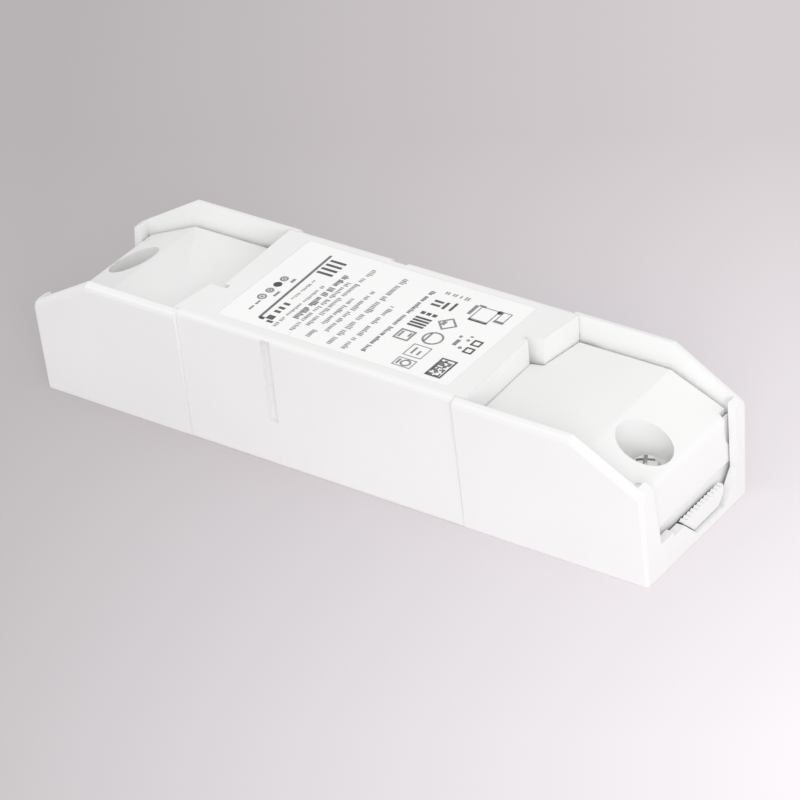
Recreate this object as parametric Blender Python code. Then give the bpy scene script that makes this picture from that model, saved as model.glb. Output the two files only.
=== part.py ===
"""White plastic LED driver with sunken terminal covers and a labelled centre cover.

The frame has its origin under the middle of the base. X runs along the driver,
Y across it and Z up. Both ends are the same shape turned half a circle about Z.
"""
import math

import bmesh
import bpy
from mathutils import Matrix

MM = 0.001

# Housing
LENGTH = 150.0 * MM          # over both ends
WIDTH = 40.0 * MM            # over the tops of the end walls
HEIGHT = 30.8 * MM           # base to deck
END_HEIGHT = 21.6 * MM       # side wall where it meets the end
SLOPE_RUN = 15.7 * MM        # length of the falling part of a side wall
FOOT_INSET = 1.4 * MM        # lean of an end wall from top to foot
COVER_INSET = 0.95 * MM      # centre cover set back from the end walls
WALL = 1.8 * MM
FLOOR = 1.8 * MM
EDGE_ROUND = 1.5 * MM        # rounded top edge of walls and centre cover
CORNER_ROUND = 0.8 * MM
GAP = 0.3 * MM               # between pieces that touch

# Centre cover
BAY = 40.8 * MM              # end bay, from the housing's end to the mean place of its joint
STEP_SKEW = 2.0 * MM         # near joint lies this much nearer the middle, far joint farther
DECK_IN = 0.8 * MM           # near part of the deck's end runs in this much across its width
DECK_OUT = 1.4 * MM          # far part runs out this much
DECK_JOG = 2.7 * MM          # step from the near part of the deck's end to the far part
DECK = 1.8 * MM
SKIRT = 1.25 * MM            # skirt thickness at the foot
SKIRT_LIFT = 0.2 * MM
PARTITION = 1.5 * MM
PARTITION_FOOT = 7.0 * MM    # lowest edge of the cover's cross walls
SLIT = 1.4 * MM              # slit between the two parts of the deck's end
SLIT_Y = 6.4 * MM
GROOVE_DEPTH = 1.2 * MM
GROOVE_FOOT = 10.6 * MM
NEAR_GROOVE_X = -13.7 * MM
NEAR_GROOVE = 2.2 * MM
FAR_GROOVE_X = -6.2 * MM
FAR_GROOVE = 4.0 * MM
CATCH = 6.0 * MM             # width of the skirts' catches
CATCH_X = 16.0 * MM
CATCH_FOOT = 2.3 * MM
CATCH_RISE = 1.5 * MM
CATCH_DEPTH = 0.9 * MM

# Terminal covers
LID_DROP = 5.7 * MM          # flat part of a terminal cover below the deck
LID_LOW = 2.5 * MM           # its outer end below the side wall's end
LID_SHELL = 1.5 * MM
LID_FOOT = 6.6 * MM          # lower edge of its end wall
LID_REACH = 2.1 * MM         # from the housing's end to its end wall
LID_RIM = 4.4 * MM           # depth of its stiffening edges
CUP_X = 9.1 * MM             # screw cup, from the housing's end
CUP_Y = 3.6 * MM
CUP_RADIUS = 5.6 * MM
CUP_WALL = 0.8 * MM
CUP_DEPTH = 3.9 * MM         # its floor below the cover's outer end
CUP_BASE = 1.6 * MM
BOSS = 3.9 * MM
GUSSET = 9.0 * MM            # reach of the boss's gusset toward the middle
SCREW_RADIUS = 1.45 * MM
SCREW_HEAD = 3.0 * MM
SCREW_HEAD_RISE = 2.8 * MM
SCREW_LENGTH = 10.5 * MM
GATE_X = 4.1 * MM            # moulding mark on the slope, from the housing's end
GATE_Y = 14.0 * MM
GATE = 0.8 * MM
GATE_DEPTH = 0.3 * MM
NOTCH = 1.2 * MM             # notch in its end wall beside the far flange
NOTCH_DROP = 6.6 * MM
END_ROUND = 1.2 * MM         # rounded edge between its slope and its end wall

# End openings
FLANGE = 1.8 * MM            # thickness of the return flanges
FLANGE_NEAR = 4.8 * MM       # their widths, near and far
FLANGE_FAR = 4.6 * MM
FLANGE_LEAN = 2.0 * MM       # near flange wider at the sill than at the top
SILL = 6.3 * MM
SILL_HIGH = 7.2 * MM
SILL_BLOCK = 11.4 * MM       # raised corner of the sill, from the wall's top
SILL_LENGTH = 3.8 * MM       # level part of the sill beside it
SILL_FALL = 4.4 * MM         # its slanted end
CORNER = 5.0 * MM            # slanted far corner of the window, across and up
CORNER_RISE = 5.7 * MM
GRIP_TEETH = 0.4 * MM
GRIP_BAR = 2.6 * MM
GRIP_OUT = 1.3 * MM          # bar's face past the terminal cover's end wall
GRIP_SHORT = 1.5 * MM        # its far end short of the slanted corner
GRIP_CHAMFER = 1.8 * MM
GUIDE = 1.0 * MM             # guides behind the bar
GUIDE_WIDTH = 1.8 * MM
GUIDE_INSET = 1.8 * MM

# Ribs that carry a terminal cover
RIB = 1.6 * MM
RIB_DEPTH = 0.9 * MM
RIB_START = 6.0 * MM         # from the far joint
RIB_END = 4.0 * MM           # from the start of the slope

# Board and its larger parts
BOARD_Z = 5.0 * MM
BOARD = 1.6 * MM
RAIL = 1.4 * MM              # low rails beside the board
POST = 1.8 * MM              # radius of the posts under the board
BOARD_CLEAR = 5.7 * MM       # board's end to the gusset
TERMINAL_BACK = 4.2 * MM     # joint to the back of a terminal block
TERMINAL_EDGE = 0.5 * MM     # its mouth to the board's end
TERMINAL_PITCH = 7.5 * MM
SINK = 1.2 * MM              # heatsink sheet
FIN = 4.0 * MM
TAB = 1.2 * MM               # transistor tab, body and legs
TAB_BODY = 4.2 * MM
LEG = 0.8 * MM
BOBBIN = 0.8 * MM            # bobbin wall
PIN_RAIL = 1.8 * MM

# Label
LABEL_END = 4.2 * MM         # margins to the near joint and to the long edge
LABEL_SIDE = 3.25 * MM
LABEL_X = 0.4 * MM
LABEL_Y = 0.2 * MM

# Derived sizes
END = LENGTH / 2
HALF = WIDTH / 2
FOOT = HALF - FOOT_INSET
SLOPE_X = END - SLOPE_RUN
STEP_MID = END - BAY
NEAR_STEP = STEP_MID - STEP_SKEW
FAR_STEP = STEP_MID + STEP_SKEW
DECK_TIP = STEP_MID - DECK_IN
SLIT_LOW = SLIT_Y - SLIT / 2
SLIT_HIGH = SLIT_Y + SLIT / 2
BOARD_TOP = BOARD_Z + BOARD
SKIRT_IN = FOOT - SKIRT
RAIL_OUT = SKIRT_IN - GAP
RAIL_IN = RAIL_OUT - RAIL
BOARD_HALF = RAIL_IN - GAP
ROOM_X = NEAR_STEP - GAP - PARTITION
ROOM_TOP = HEIGHT - DECK - GAP
LID_X = END - LID_REACH
LID_TOP = HEIGHT - LID_DROP
LID_END = END_HEIGHT - LID_LOW
CUP_AT = (END - CUP_X, -CUP_Y)
CUP_FLOOR = LID_END - CUP_DEPTH
BOARD_X = END - CUP_X - GUSSET - BOARD_CLEAR
SILL_OUT = -HALF + SILL_BLOCK + SILL_LENGTH + SILL_FALL
WINDOW_FAR = HALF - FLANGE_FAR
GRIP_FOOT = FLOOR + GAP
GRIP_TOP = LID_FOOT - GAP
GRIP_X = (LID_X + GRIP_OUT - GRIP_BAR, LID_X + GRIP_OUT)
RIBS_X = (FAR_STEP + RIB_START, SLOPE_X - RIB_END)
LABEL_HALF_X = NEAR_STEP - LABEL_END
LABEL_HALF_Y = HALF - COVER_INSET - LABEL_SIDE

WHITE = ((0.87, 0.87, 0.86), 0.42, 0.0)
PAPER = ((0.95, 0.95, 0.94), 0.6, 0.0)
STEEL = ((0.62, 0.62, 0.60), 0.3, 1.0)
ALUMINIUM = ((0.66, 0.67, 0.68), 0.4, 1.0)
COPPER = ((0.62, 0.27, 0.12), 0.35, 1.0)
GREEN = ((0.05, 0.20, 0.09), 0.5, 0.0)
BLACK = ((0.03, 0.03, 0.032), 0.5, 0.0)
FERRITE = ((0.08, 0.08, 0.085), 0.7, 0.0)


def outer(z):
    """Half width of the end walls at height z."""
    return FOOT + FOOT_INSET * z / HEIGHT


def inner(z):
    """Half width between the end walls at height z."""
    return outer(z) - WALL


def skirt(z):
    """Half width of the centre cover at height z."""
    return FOOT + (FOOT_INSET - COVER_INSET) * z / HEIGHT


def lid_side(z):
    """Half width of a terminal cover at height z."""
    return inner(z) - GAP


def half_turn(points):
    """Plan points turned half a circle about the middle."""
    return [(-x, -y) for x, y in points]


def add_object(bm, name, look=None, smooth=None):
    """Link a mesh; without a look it only shapes another piece and stays hidden."""
    bmesh.ops.recalc_face_normals(bm, faces=bm.faces)
    mesh = bpy.data.meshes.new(name)
    bm.to_mesh(mesh)
    bm.free()
    if smooth:
        mesh.shade_smooth()
        mesh.set_sharp_from_angle(angle=math.radians(smooth))
    obj = bpy.data.objects.new(name, mesh)
    bpy.context.scene.collection.objects.link(obj)
    if look is None:
        obj.hide_render = True
        obj.display_type = 'WIRE'
        return obj
    colour, roughness, metallic = look
    mat = bpy.data.materials.new(name)
    mat.use_nodes = True
    shader = mat.node_tree.nodes["Principled BSDF"]
    shader.inputs["Base Color"].default_value = (*colour, 1.0)
    shader.inputs["Roughness"].default_value = roughness
    shader.inputs["Metallic"].default_value = metallic
    mesh.materials.append(mat)
    return obj


def loft(rings):
    """Closed solid through outlines of equal count, capped at both ends."""
    bm = bmesh.new()
    loops = [[bm.verts.new(p) for p in ring] for ring in rings]
    bm.faces.new(loops[0])
    bm.faces.new(loops[-1])
    for a, b in zip(loops, loops[1:]):
        for i in range(len(a)):
            j = (i + 1) % len(a)
            bm.faces.new((a[i], a[j], b[j], b[i]))
    return bm


def plan_loft(plan, z0, z1):
    """Solid over a plan outline that may change with height."""
    return loft([[(x, y, z) for x, y in plan(z)] for z in (z0, z1)])


def side_sweep(outline, y_low, y_high):
    """Side outline in x and z swept across the width between two leaning planes."""
    return loft([[(x, across(z), z) for x, z in outline] for across in (y_low, y_high)])


def end_sweep(outline, x0, x1):
    """End outline in y and z swept along the driver."""
    return loft([[(x, y, z) for y, z in outline] for x in (x0, x1)])


def block(x0, x1, y0, y1, z0, z1):
    """Plain box between limits."""
    bm = bmesh.new()
    bmesh.ops.create_cube(bm, size=1.0)
    size = Matrix.Diagonal((x1 - x0, y1 - y0, z1 - z0, 1.0))
    middle = Matrix.Translation(((x0 + x1) / 2, (y0 + y1) / 2, (z0 + z1) / 2))
    bmesh.ops.transform(bm, matrix=middle @ size, verts=bm.verts)
    return bm


def drum(centre, radius, length, axis='Z', segments=24, top_radius=None):
    """Cylinder or cone from its middle point."""
    bm = bmesh.new()
    bmesh.ops.create_cone(bm, cap_ends=True, segments=segments, radius1=radius,
                          radius2=radius if top_radius is None else top_radius, depth=length)
    turn = {'Z': Matrix.Identity(4), 'X': Matrix.Rotation(math.pi / 2, 4, 'Y'),
            'Y': Matrix.Rotation(-math.pi / 2, 4, 'X')}[axis]
    bmesh.ops.transform(bm, matrix=Matrix.Translation(centre) @ turn, verts=bm.verts)
    return bm


def turned(profile, centre, axis='Z', segments=28):
    """Closed profile of radius and height spun about an axis; end points on the axis close it."""
    bm = bmesh.new()
    verts = [bm.verts.new((r, 0.0, h)) for r, h in profile]
    edges = [bm.edges.new((verts[i], verts[i + 1])) for i in range(len(verts) - 1)]
    bmesh.ops.spin(bm, geom=verts + edges, cent=(0, 0, 0), axis=(0, 0, 1),
                   angle=2 * math.pi, steps=segments, use_merge=True, use_duplicate=False)
    bmesh.ops.remove_doubles(bm, verts=bm.verts, dist=0.00001)
    turn = {'Z': Matrix.Identity(4), 'X': Matrix.Rotation(math.pi / 2, 4, 'Y'),
            'Y': Matrix.Rotation(-math.pi / 2, 4, 'X')}[axis]
    bmesh.ops.transform(bm, matrix=Matrix.Translation(centre) @ turn, verts=bm.verts)
    return bm


def soften(bm, pick, width, segments=2):
    """Round the edges that a rule picks."""
    edges = [e for e in bm.edges if pick(e)]
    bmesh.ops.bevel(bm, geom=edges, offset=width, offset_type='OFFSET', segments=segments,
                    profile=0.5, affect='EDGES', clamp_overlap=True, material=-1)
    return bm


def upright(edge):
    """True for an edge that runs mostly up."""
    d = edge.verts[1].co - edge.verts[0].co
    return abs(d.z) > 0.9 * d.length


def at_top(edge, z):
    """True for an edge that lies at height z."""
    return all(abs(v.co.z - z) < 0.01 * MM for v in edge.verts)


def carve(target, bm, name, operation='DIFFERENCE'):
    """Take a shape out of a piece."""
    mod = target.modifiers.new(name, 'BOOLEAN')
    mod.operation = operation
    mod.solver = 'EXACT'
    mod.object = add_object(bm, name)


def fuse(target, bm, name):
    """Join a shape to a piece."""
    carve(target, bm, name, 'UNION')


def at_ends(make):
    """Call a maker for the right end, then for the left end with plan points turned."""
    for side, sign in (("right", 1.0), ("left", -1.0)):
        make(side, sign)


def turn_about_middle(bm, sign):
    """Half turn about Z for the left end."""
    if sign < 0:
        bmesh.ops.rotate(bm, cent=(0, 0, 0), matrix=Matrix.Rotation(math.pi, 3, 'Z'), verts=bm.verts)
    return bm


def deck_end(z):
    """Plan of the deck's right end from the near wall to the far wall, with its slit."""
    side = inner(z) - GAP
    out = DECK_TIP + DECK_JOG
    return [(STEP_MID, -side), (DECK_TIP, SLIT_LOW), (DECK_TIP - SLIT, SLIT_LOW), (DECK_TIP - SLIT, SLIT_HIGH),
            (out, SLIT_HIGH), (out + DECK_OUT, side)]


def cover_plan(z):
    """Plan of the centre cover: two skirts and a tongue between the end walls."""
    side = inner(z) - GAP
    near = [(NEAR_STEP - GAP, -skirt(z)), (NEAR_STEP - GAP, -side)]
    far = [(FAR_STEP - GAP, side), (FAR_STEP - GAP, skirt(z))]
    right = near + deck_end(z) + far
    return right + half_turn(right)


def room_plan(z):
    """Plan of the hollow in the centre cover."""
    tongue = inner(PARTITION_FOOT) - GAP - PARTITION
    near = DECK_TIP - PARTITION
    low, high = SLIT_LOW - PARTITION, SLIT_HIGH + PARTITION
    right = [(ROOM_X, -SKIRT_IN), (ROOM_X, -tongue), (near + DECK_IN, -tongue),
             (near, low), (near - SLIT, low), (near - SLIT, high), (near + DECK_JOG, high),
             (near + DECK_JOG + 0.9 * DECK_OUT, tongue),
             (FAR_STEP - GAP - PARTITION, tongue), (FAR_STEP - GAP - PARTITION, SKIRT_IN)]
    return right + half_turn(right)


def hull_section(x, top, tuck):
    """Cross outline of the housing at x, with rounded top edges, drawn in by tuck on each side."""
    side = [(outer(0) - tuck, 0.0)]
    for i in range(4):
        a = math.pi / 2 * i / 3
        z = top - EDGE_ROUND * (1 - math.sin(a))
        side.append((outer(z) - tuck - EDGE_ROUND * (1 - math.cos(a)), z))
    return [(x, y, z) for y, z in side] + [(x, -y, z) for y, z in reversed(side)]


def make_base():
    # Cross sections from the right end to the left end; the standing corners are rounded.
    fall = (HEIGHT - END_HEIGHT) / SLOPE_RUN
    right = []
    for i in range(4):
        a = math.pi / 2 * i / 3
        back = CORNER_ROUND * (1 - math.cos(a))
        right.append(hull_section(END - back, END_HEIGHT + fall * back, CORNER_ROUND * (1 - math.sin(a))))
    right.append(hull_section(SLOPE_X, HEIGHT, 0.0))
    left = [[(-x, y, z) for x, y, z in ring] for ring in reversed(right)]
    base = add_object(loft(right + left), "housing_base", WHITE, 35)

    over = HEIGHT + 5 * MM
    inside = END - FLANGE
    pocket = FAR_STEP + 1 * MM
    carve(base, side_sweep([(-inside, FLOOR), (-pocket, FLOOR), (-pocket, BOARD_TOP), (pocket, BOARD_TOP),
                           (pocket, FLOOR), (inside, FLOOR), (inside, over), (-inside, over)],
                          lambda z: -inner(z), inner), "cut_room")
    carve(base, block(-pocket - 1 * MM, pocket + 1 * MM, -RAIL_IN, RAIL_IN, FLOOR, BOARD_TOP + 1 * MM),
         "cut_between_rails")
    for sign, label in ((1, "right"), (-1, "left")):
        x0, x1 = sorted((-sign * NEAR_STEP, sign * FAR_STEP))
        y0, y1 = sorted((sign * RAIL_OUT, sign * (HALF + 5 * MM)))
        carve(base, block(x0, x1, y0, y1, -1 * MM, over), "cut_skirt_bay_" + label)

    # Windows in the rails for the centre cover's catches.
    for i in (-1, 1):
        carve(base, block(i * CATCH_X - CATCH / 2 - GAP, i * CATCH_X + CATCH / 2 + GAP, -RAIL_OUT - 1 * MM,
                          RAIL_OUT + 1 * MM, FLOOR, CATCH_FOOT + CATCH_RISE + GAP), "cut_catch_%d" % i)

    # End window between the return flanges, with a stepped sill and a slanted far corner.
    near = -HALF + FLANGE_NEAR
    lean = FLANGE_LEAN * (over - SILL_HIGH) / (END_HEIGHT - SILL_HIGH)
    step = -HALF + SILL_BLOCK
    window = [(near + FLANGE_LEAN - lean, over), (near + FLANGE_LEAN, SILL_HIGH), (step, SILL_HIGH), (step, SILL),
              (step + SILL_LENGTH, SILL), (SILL_OUT, FLOOR), (WINDOW_FAR - CORNER, FLOOR),
              (WINDOW_FAR, FLOOR + CORNER_RISE), (WINDOW_FAR, over)]

    def end_work(side, sign):
        carve(base, turn_about_middle(end_sweep(window, inside - 1 * MM, END + 1 * MM), sign),
             "cut_window_" + side)
        # Screw boss with a gusset on its inner side.
        boss_top = CUP_FLOOR - CUP_BASE - GAP
        fuse(base, turn_about_middle(drum((*CUP_AT, (boss_top + FLOOR / 2) / 2), BOSS,
                                          boss_top - FLOOR / 2, segments=24), sign), "boss_" + side)
        fuse(base, turn_about_middle(side_sweep(
            [(CUP_AT[0] - GUSSET, FLOOR / 2), (CUP_AT[0], FLOOR / 2), (CUP_AT[0], boss_top - 1.5 * MM),
             (CUP_AT[0] - BOSS * 0.92, boss_top - 1.5 * MM), (CUP_AT[0] - GUSSET, FLOOR + 1 * MM)],
            lambda z: CUP_AT[1] - 0.6 * MM, lambda z: CUP_AT[1] + 0.6 * MM), sign), "gusset_" + side)
        carve(base, turn_about_middle(drum((*CUP_AT, boss_top), SCREW_RADIUS + GAP,
                                          2 * (boss_top - FLOOR - 1 * MM), segments=20), sign),
             "cut_pilot_" + side)
        # Ribs on the side walls carry the terminal cover.
        rib_top = LID_TOP - LID_SHELL - GAP
        for i, x in enumerate(RIBS_X):
            for hand in (1, -1):
                rib = side_sweep([(x, FLOOR / 2), (x + RIB, FLOOR / 2), (x + RIB, rib_top), (x, rib_top)],
                                 lambda z: hand * (inner(z) - RIB_DEPTH),
                                 lambda z: hand * (inner(z) + WALL / 3))
                fuse(base, turn_about_middle(rib, sign), "rib_%s_%d_%s" % (side, i, "far" if hand > 0 else "near"))
        # Two guides behind the grip bar.
        back = GRIP_X[0] - GAP
        for i, y in enumerate((grip_start(GRIP_FOOT) + GUIDE_INSET, grip_end(GRIP_FOOT) - GUIDE_INSET - GUIDE_WIDTH)):
            fuse(base, turn_about_middle(block(back - GUIDE, back, y, y + GUIDE_WIDTH, FLOOR / 2,
                                               GRIP_TOP - GRIP_TEETH), sign), "guide_%s_%d" % (side, i))
    at_ends(end_work)

    # Posts under the board.
    for i in range(4):
        for hand in (1, -1):
            x = (i - 1.5) * BOARD_X * 0.58
            fuse(base, drum((x, hand * BOARD_HALF * 0.66, (FLOOR / 2 + BOARD_Z - GAP) / 2), POST,
                            BOARD_Z - GAP - FLOOR / 2, segments=12),
                 "post_%d_%s" % (i, "far" if hand > 0 else "near"))


def make_centre_cover():
    bm = plan_loft(cover_plan, SKIRT_LIFT, HEIGHT)
    soften(bm, lambda e: at_top(e, HEIGHT) and all(abs(v.co.y) > skirt(HEIGHT) - 0.01 * MM for v in e.verts),
           EDGE_ROUND, 3)
    cover = add_object(bm, "centre_cover", WHITE, 35)
    carve(cover, plan_loft(room_plan, -1 * MM, HEIGHT - DECK), "cut_cover_room")
    carve(cover, block(-FAR_STEP - 5 * MM, FAR_STEP + 5 * MM, -SKIRT_IN, SKIRT_IN, -2 * MM, PARTITION_FOOT),
         "cut_under_partitions")
    # Shallow bed for the label.
    carve(cover, soften(block(LABEL_X - LABEL_HALF_X - GAP, LABEL_X + LABEL_HALF_X + GAP,
                              LABEL_Y - LABEL_HALF_Y - GAP, LABEL_Y + LABEL_HALF_Y + GAP,
                              HEIGHT - 0.4 * MM, HEIGHT + 2 * MM), upright, 0.6 * MM, 2), "cut_label_bed")
    # One standing groove in each skirt; the far one is open at the rim.
    deep = skirt(HEIGHT / 2) - GROOVE_DEPTH
    for label, x, w, y0, y1, top in (("near", NEAR_GROOVE_X, NEAR_GROOVE, -HALF - 3 * MM, -deep,
                                      HEIGHT - EDGE_ROUND / 2),
                                     ("far", FAR_GROOVE_X, FAR_GROOVE, deep, HALF + 3 * MM, HEIGHT + 2 * MM)):
        carve(cover, block(x - w / 2, x + w / 2, y0, y1, GROOVE_FOOT, top), "cut_groove_" + label)
    # Wedge-shaped catches on the skirts reach into the windows of the rails.
    foot, crest = SKIRT_IN + SKIRT / 2, SKIRT_IN - CATCH_DEPTH
    for i in (-1, 1):
        for hand in (-1, 1):
            wedge = [(hand * foot, CATCH_FOOT - 0.6 * MM), (hand * SKIRT_IN, CATCH_FOOT - 0.6 * MM),
                     (hand * crest, CATCH_FOOT + CATCH_RISE * 0.6), (hand * crest, CATCH_FOOT + CATCH_RISE),
                     (hand * foot, CATCH_FOOT + CATCH_RISE)]
            fuse(cover, end_sweep(wedge, i * CATCH_X - CATCH / 2, i * CATCH_X + CATCH / 2),
                 "catch_%d_%d" % (i, hand))


def make_label():
    bm = block(LABEL_X - LABEL_HALF_X, LABEL_X + LABEL_HALF_X, LABEL_Y - LABEL_HALF_Y, LABEL_Y + LABEL_HALF_Y,
               HEIGHT - 0.25 * MM, HEIGHT - 0.05 * MM)
    soften(bm, upright, 0.5 * MM, 2)
    add_object(bm, "label", PAPER, 35)


def lid_height(x):
    """Height of a terminal cover's top at x: level, then falling."""
    fall = (LID_TOP - LID_END) * (x - SLOPE_X) / (LID_X - SLOPE_X)
    return LID_TOP - max(fall, 0.0)


def make_terminal_cover(side, sign):
    t = LID_SHELL
    start = STEP_MID - 4 * MM
    outline = [(start, LID_TOP), (SLOPE_X, LID_TOP), (LID_X, LID_END), (LID_X, LID_FOOT),
               (LID_X - t, LID_FOOT), (LID_X - t, LID_END - 0.8 * t),
               (SLOPE_X - 0.3 * t, LID_TOP - t), (start, LID_TOP - t)]
    bm = side_sweep(outline, lambda z: -lid_side(z), lid_side)
    soften(bm, lambda e: all(abs(v.co.x - LID_X) < 0.01 * MM and v.co.z > LID_END - 0.01 * MM
                             for v in e.verts), END_ROUND, 3)
    cover = add_object(turn_about_middle(bm, sign), "terminal_cover_" + side, WHITE, 35)

    # Stiffening edges under both sides, clear of the carrying ribs.
    rim0, rim1 = RIBS_X[0] + RIB + t, RIBS_X[1] - t
    for hand in (1, -1):
        rim = side_sweep([(rim0, LID_TOP - LID_RIM), (rim1, LID_TOP - LID_RIM),
                          (rim1, LID_TOP - t / 2), (rim0, LID_TOP - t / 2)],
                         lambda z: hand * (lid_side(z) - t), lambda z: hand * (lid_side(z) - t / 6))
        fuse(cover, turn_about_middle(rim, sign), "rim_%s_%s" % (side, "far" if hand > 0 else "near"))
    # Screw cup whose top follows the slope.
    cup = drum((*CUP_AT, 0), CUP_RADIUS + CUP_WALL, 2.0, segments=40)
    for v in cup.verts:
        v.co.z = lid_height(v.co.x) - t / 3 if v.co.z > 0 else CUP_FLOOR - CUP_BASE
    fuse(cover, turn_about_middle(cup, sign), "cup_" + side)
    carve(cover, turn_about_middle(drum((*CUP_AT, CUP_FLOOR + 10 * MM), CUP_RADIUS, 20 * MM, segments=40), sign),
         "cut_cup_" + side)
    carve(cover, turn_about_middle(drum((*CUP_AT, CUP_FLOOR - 2 * MM), SCREW_RADIUS + GAP, 8 * MM, segments=20), sign),
         "cut_cup_hole_" + side)

    # Round moulding mark sunk into the slope near the outer corner.
    gate_x = END - GATE_X
    mark = drum((0, 0, 0), GATE, 2 * GATE_DEPTH, segments=16)
    tilt = math.atan2(LID_TOP - LID_END, LID_X - SLOPE_X)
    bmesh.ops.rotate(mark, cent=(0, 0, 0), matrix=Matrix.Rotation(tilt, 3, 'Y'), verts=mark.verts)
    bmesh.ops.translate(mark, vec=(gate_x, -GATE_Y, lid_height(gate_x)), verts=mark.verts)
    carve(cover, turn_about_middle(mark, sign), "cut_gate_" + side)

    # Notch in the end wall beside the far flange, widest a third of the way down.
    notch = [(HALF, LID_END + t), (WINDOW_FAR - 0.5 * NOTCH, LID_END + t), (WINDOW_FAR - 0.5 * NOTCH, LID_END),
             (WINDOW_FAR - NOTCH, LID_END - 0.3 * NOTCH_DROP), (WINDOW_FAR - NOTCH, LID_END - 0.5 * NOTCH_DROP),
             (WINDOW_FAR - 0.5 * NOTCH, LID_END - 0.8 * NOTCH_DROP), (WINDOW_FAR + GAP, LID_END - NOTCH_DROP),
             (HALF, LID_END - NOTCH_DROP)]
    carve(cover, turn_about_middle(end_sweep(notch, LID_X - t, LID_X + t), sign), "cut_notch_" + side)

    # Inner edge follows the deck's end.
    def clear(z):
        out = DECK_TIP + DECK_JOG + GAP
        line = [(STEP_MID + 0.2 * DECK_IN + GAP, -HALF), (DECK_TIP + GAP, SLIT_LOW),
                (out, SLIT_Y), (out + 1.4 * DECK_OUT, HALF)]
        return line + [(STEP_MID - 10 * MM, HALF), (STEP_MID - 10 * MM, -HALF)]
    carve(cover, turn_about_middle(plan_loft(clear, LID_TOP - 10 * MM, LID_TOP + 5 * MM), sign),
          "cut_inner_edge_" + side)


def make_cover_screw(side, sign):
    x, y = CUP_AT
    r, h = SCREW_HEAD, SCREW_HEAD_RISE
    foot = CUP_FLOOR + GAP
    profile = [(0, -SCREW_LENGTH), (SCREW_RADIUS * 0.5, -SCREW_LENGTH),
               (SCREW_RADIUS, -SCREW_LENGTH + 1.2 * MM), (SCREW_RADIUS, 0), (r, 0), (r, h * 0.45),
               (r * 0.86, h * 0.78), (r * 0.55, h * 0.96), (0, h)]
    bm = turned(profile, (x, y, foot))
    screw = add_object(turn_about_middle(bm, sign), "cover_screw_" + side, STEEL, 35)
    for i, angle in enumerate((0.0, math.pi / 2)):
        slot = block(-r * 0.62, r * 0.62, -0.4 * MM, 0.4 * MM, h * 0.4, h * 2)
        bmesh.ops.rotate(slot, cent=(0, 0, 0), matrix=Matrix.Rotation(angle + 0.5, 3, 'Z'), verts=slot.verts)
        bmesh.ops.translate(slot, vec=(x, y, foot), verts=slot.verts)
        carve(screw, turn_about_middle(slot, sign), "cut_drive_%s_%d" % (side, i))


def grip_start(z):
    """Near end of the toothed bar at height z, beside the sill's slanted end."""
    return SILL_OUT + 2 * GAP - SILL_FALL * (z - FLOOR) / (SILL - FLOOR)


def grip_end(z):
    """Far end of the toothed bar at height z, beside the window's slanted corner."""
    return WINDOW_FAR - GRIP_SHORT - CORNER * (1 - (z - FLOOR) / CORNER_RISE)


def make_cord_grip(side, sign):
    """Toothed bar in the end window, under the terminal cover's end wall."""
    teeth = 12
    start = grip_start(GRIP_TOP)
    pitch = (grip_end(GRIP_TOP) - GRIP_CHAMFER - start) / teeth
    chamfer_foot = GRIP_TOP - GRIP_CHAMFER
    line = [(grip_end(chamfer_foot), chamfer_foot), (grip_end(GRIP_FOOT), GRIP_FOOT),
            (grip_start(GRIP_FOOT), GRIP_FOOT), (start, GRIP_TOP)]
    for i in range(teeth):
        line += [(start + (i + 0.5) * pitch, GRIP_TOP - GRIP_TEETH), (start + (i + 1) * pitch, GRIP_TOP)]
    bm = end_sweep(line, *GRIP_X)
    add_object(turn_about_middle(bm, sign), "cord_grip_" + side, WHITE, 35)


def make_board():
    bm = soften(block(-BOARD_X, BOARD_X, -BOARD_HALF, BOARD_HALF, BOARD_Z, BOARD_TOP), upright, 1.0 * MM, 2)
    add_object(bm, "circuit_board", GREEN, 35)


def cell(u0, u1, v0, v1, h):
    """Box on the board as shares of the room: along, across and up."""
    rise = ROOM_TOP - BOARD_TOP - GAP
    z0 = BOARD_TOP + GAP
    return (u0 * ROOM_X, u1 * ROOM_X, v0 * BOARD_HALF, v1 * BOARD_HALF, z0, z0 + h * rise)


def can(name, box, look):
    """Upright capacitor can with a crimped foot and a pressed rim."""
    x0, x1, y0, y1, z0, z1 = box
    r = min(x1 - x0, y1 - y0) / 2
    h = z1 - z0
    profile = [(0, 0), (r * 0.94, 0), (r, h * 0.03), (r, h * 0.12), (r * 0.93, h * 0.15),
               (r, h * 0.18), (r, h * 0.96), (r * 0.94, h), (r * 0.86, h), (r * 0.84, h * 0.985), (0, h * 0.985)]
    add_object(turned(profile, ((x0 + x1) / 2, (y0 + y1) / 2, z0), segments=32), name, look, 30)


def lying(name, box, look, axis, cap=0.16, waist=0.94):
    """Axial part lying on the board, with wider end caps."""
    x0, x1, y0, y1, z0, z1 = box
    along = (x1 - x0) if axis == 'X' else (y1 - y0)
    r = min((y1 - y0) if axis == 'X' else (x1 - x0), z1 - z0) / 2
    cap = along * cap
    edge = cap * 0.2
    profile = [(0, -along / 2), (r * 0.9, -along / 2), (r, -along / 2 + edge), (r, -along / 2 + cap),
               (r * waist, -along / 2 + cap), (r * waist, along / 2 - cap),
               (r, along / 2 - cap), (r, along / 2 - edge), (r * 0.9, along / 2), (0, along / 2)]
    add_object(turned(profile, ((x0 + x1) / 2, (y0 + y1) / 2, z0 + r), axis, 24), name, look, 30)


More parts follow.
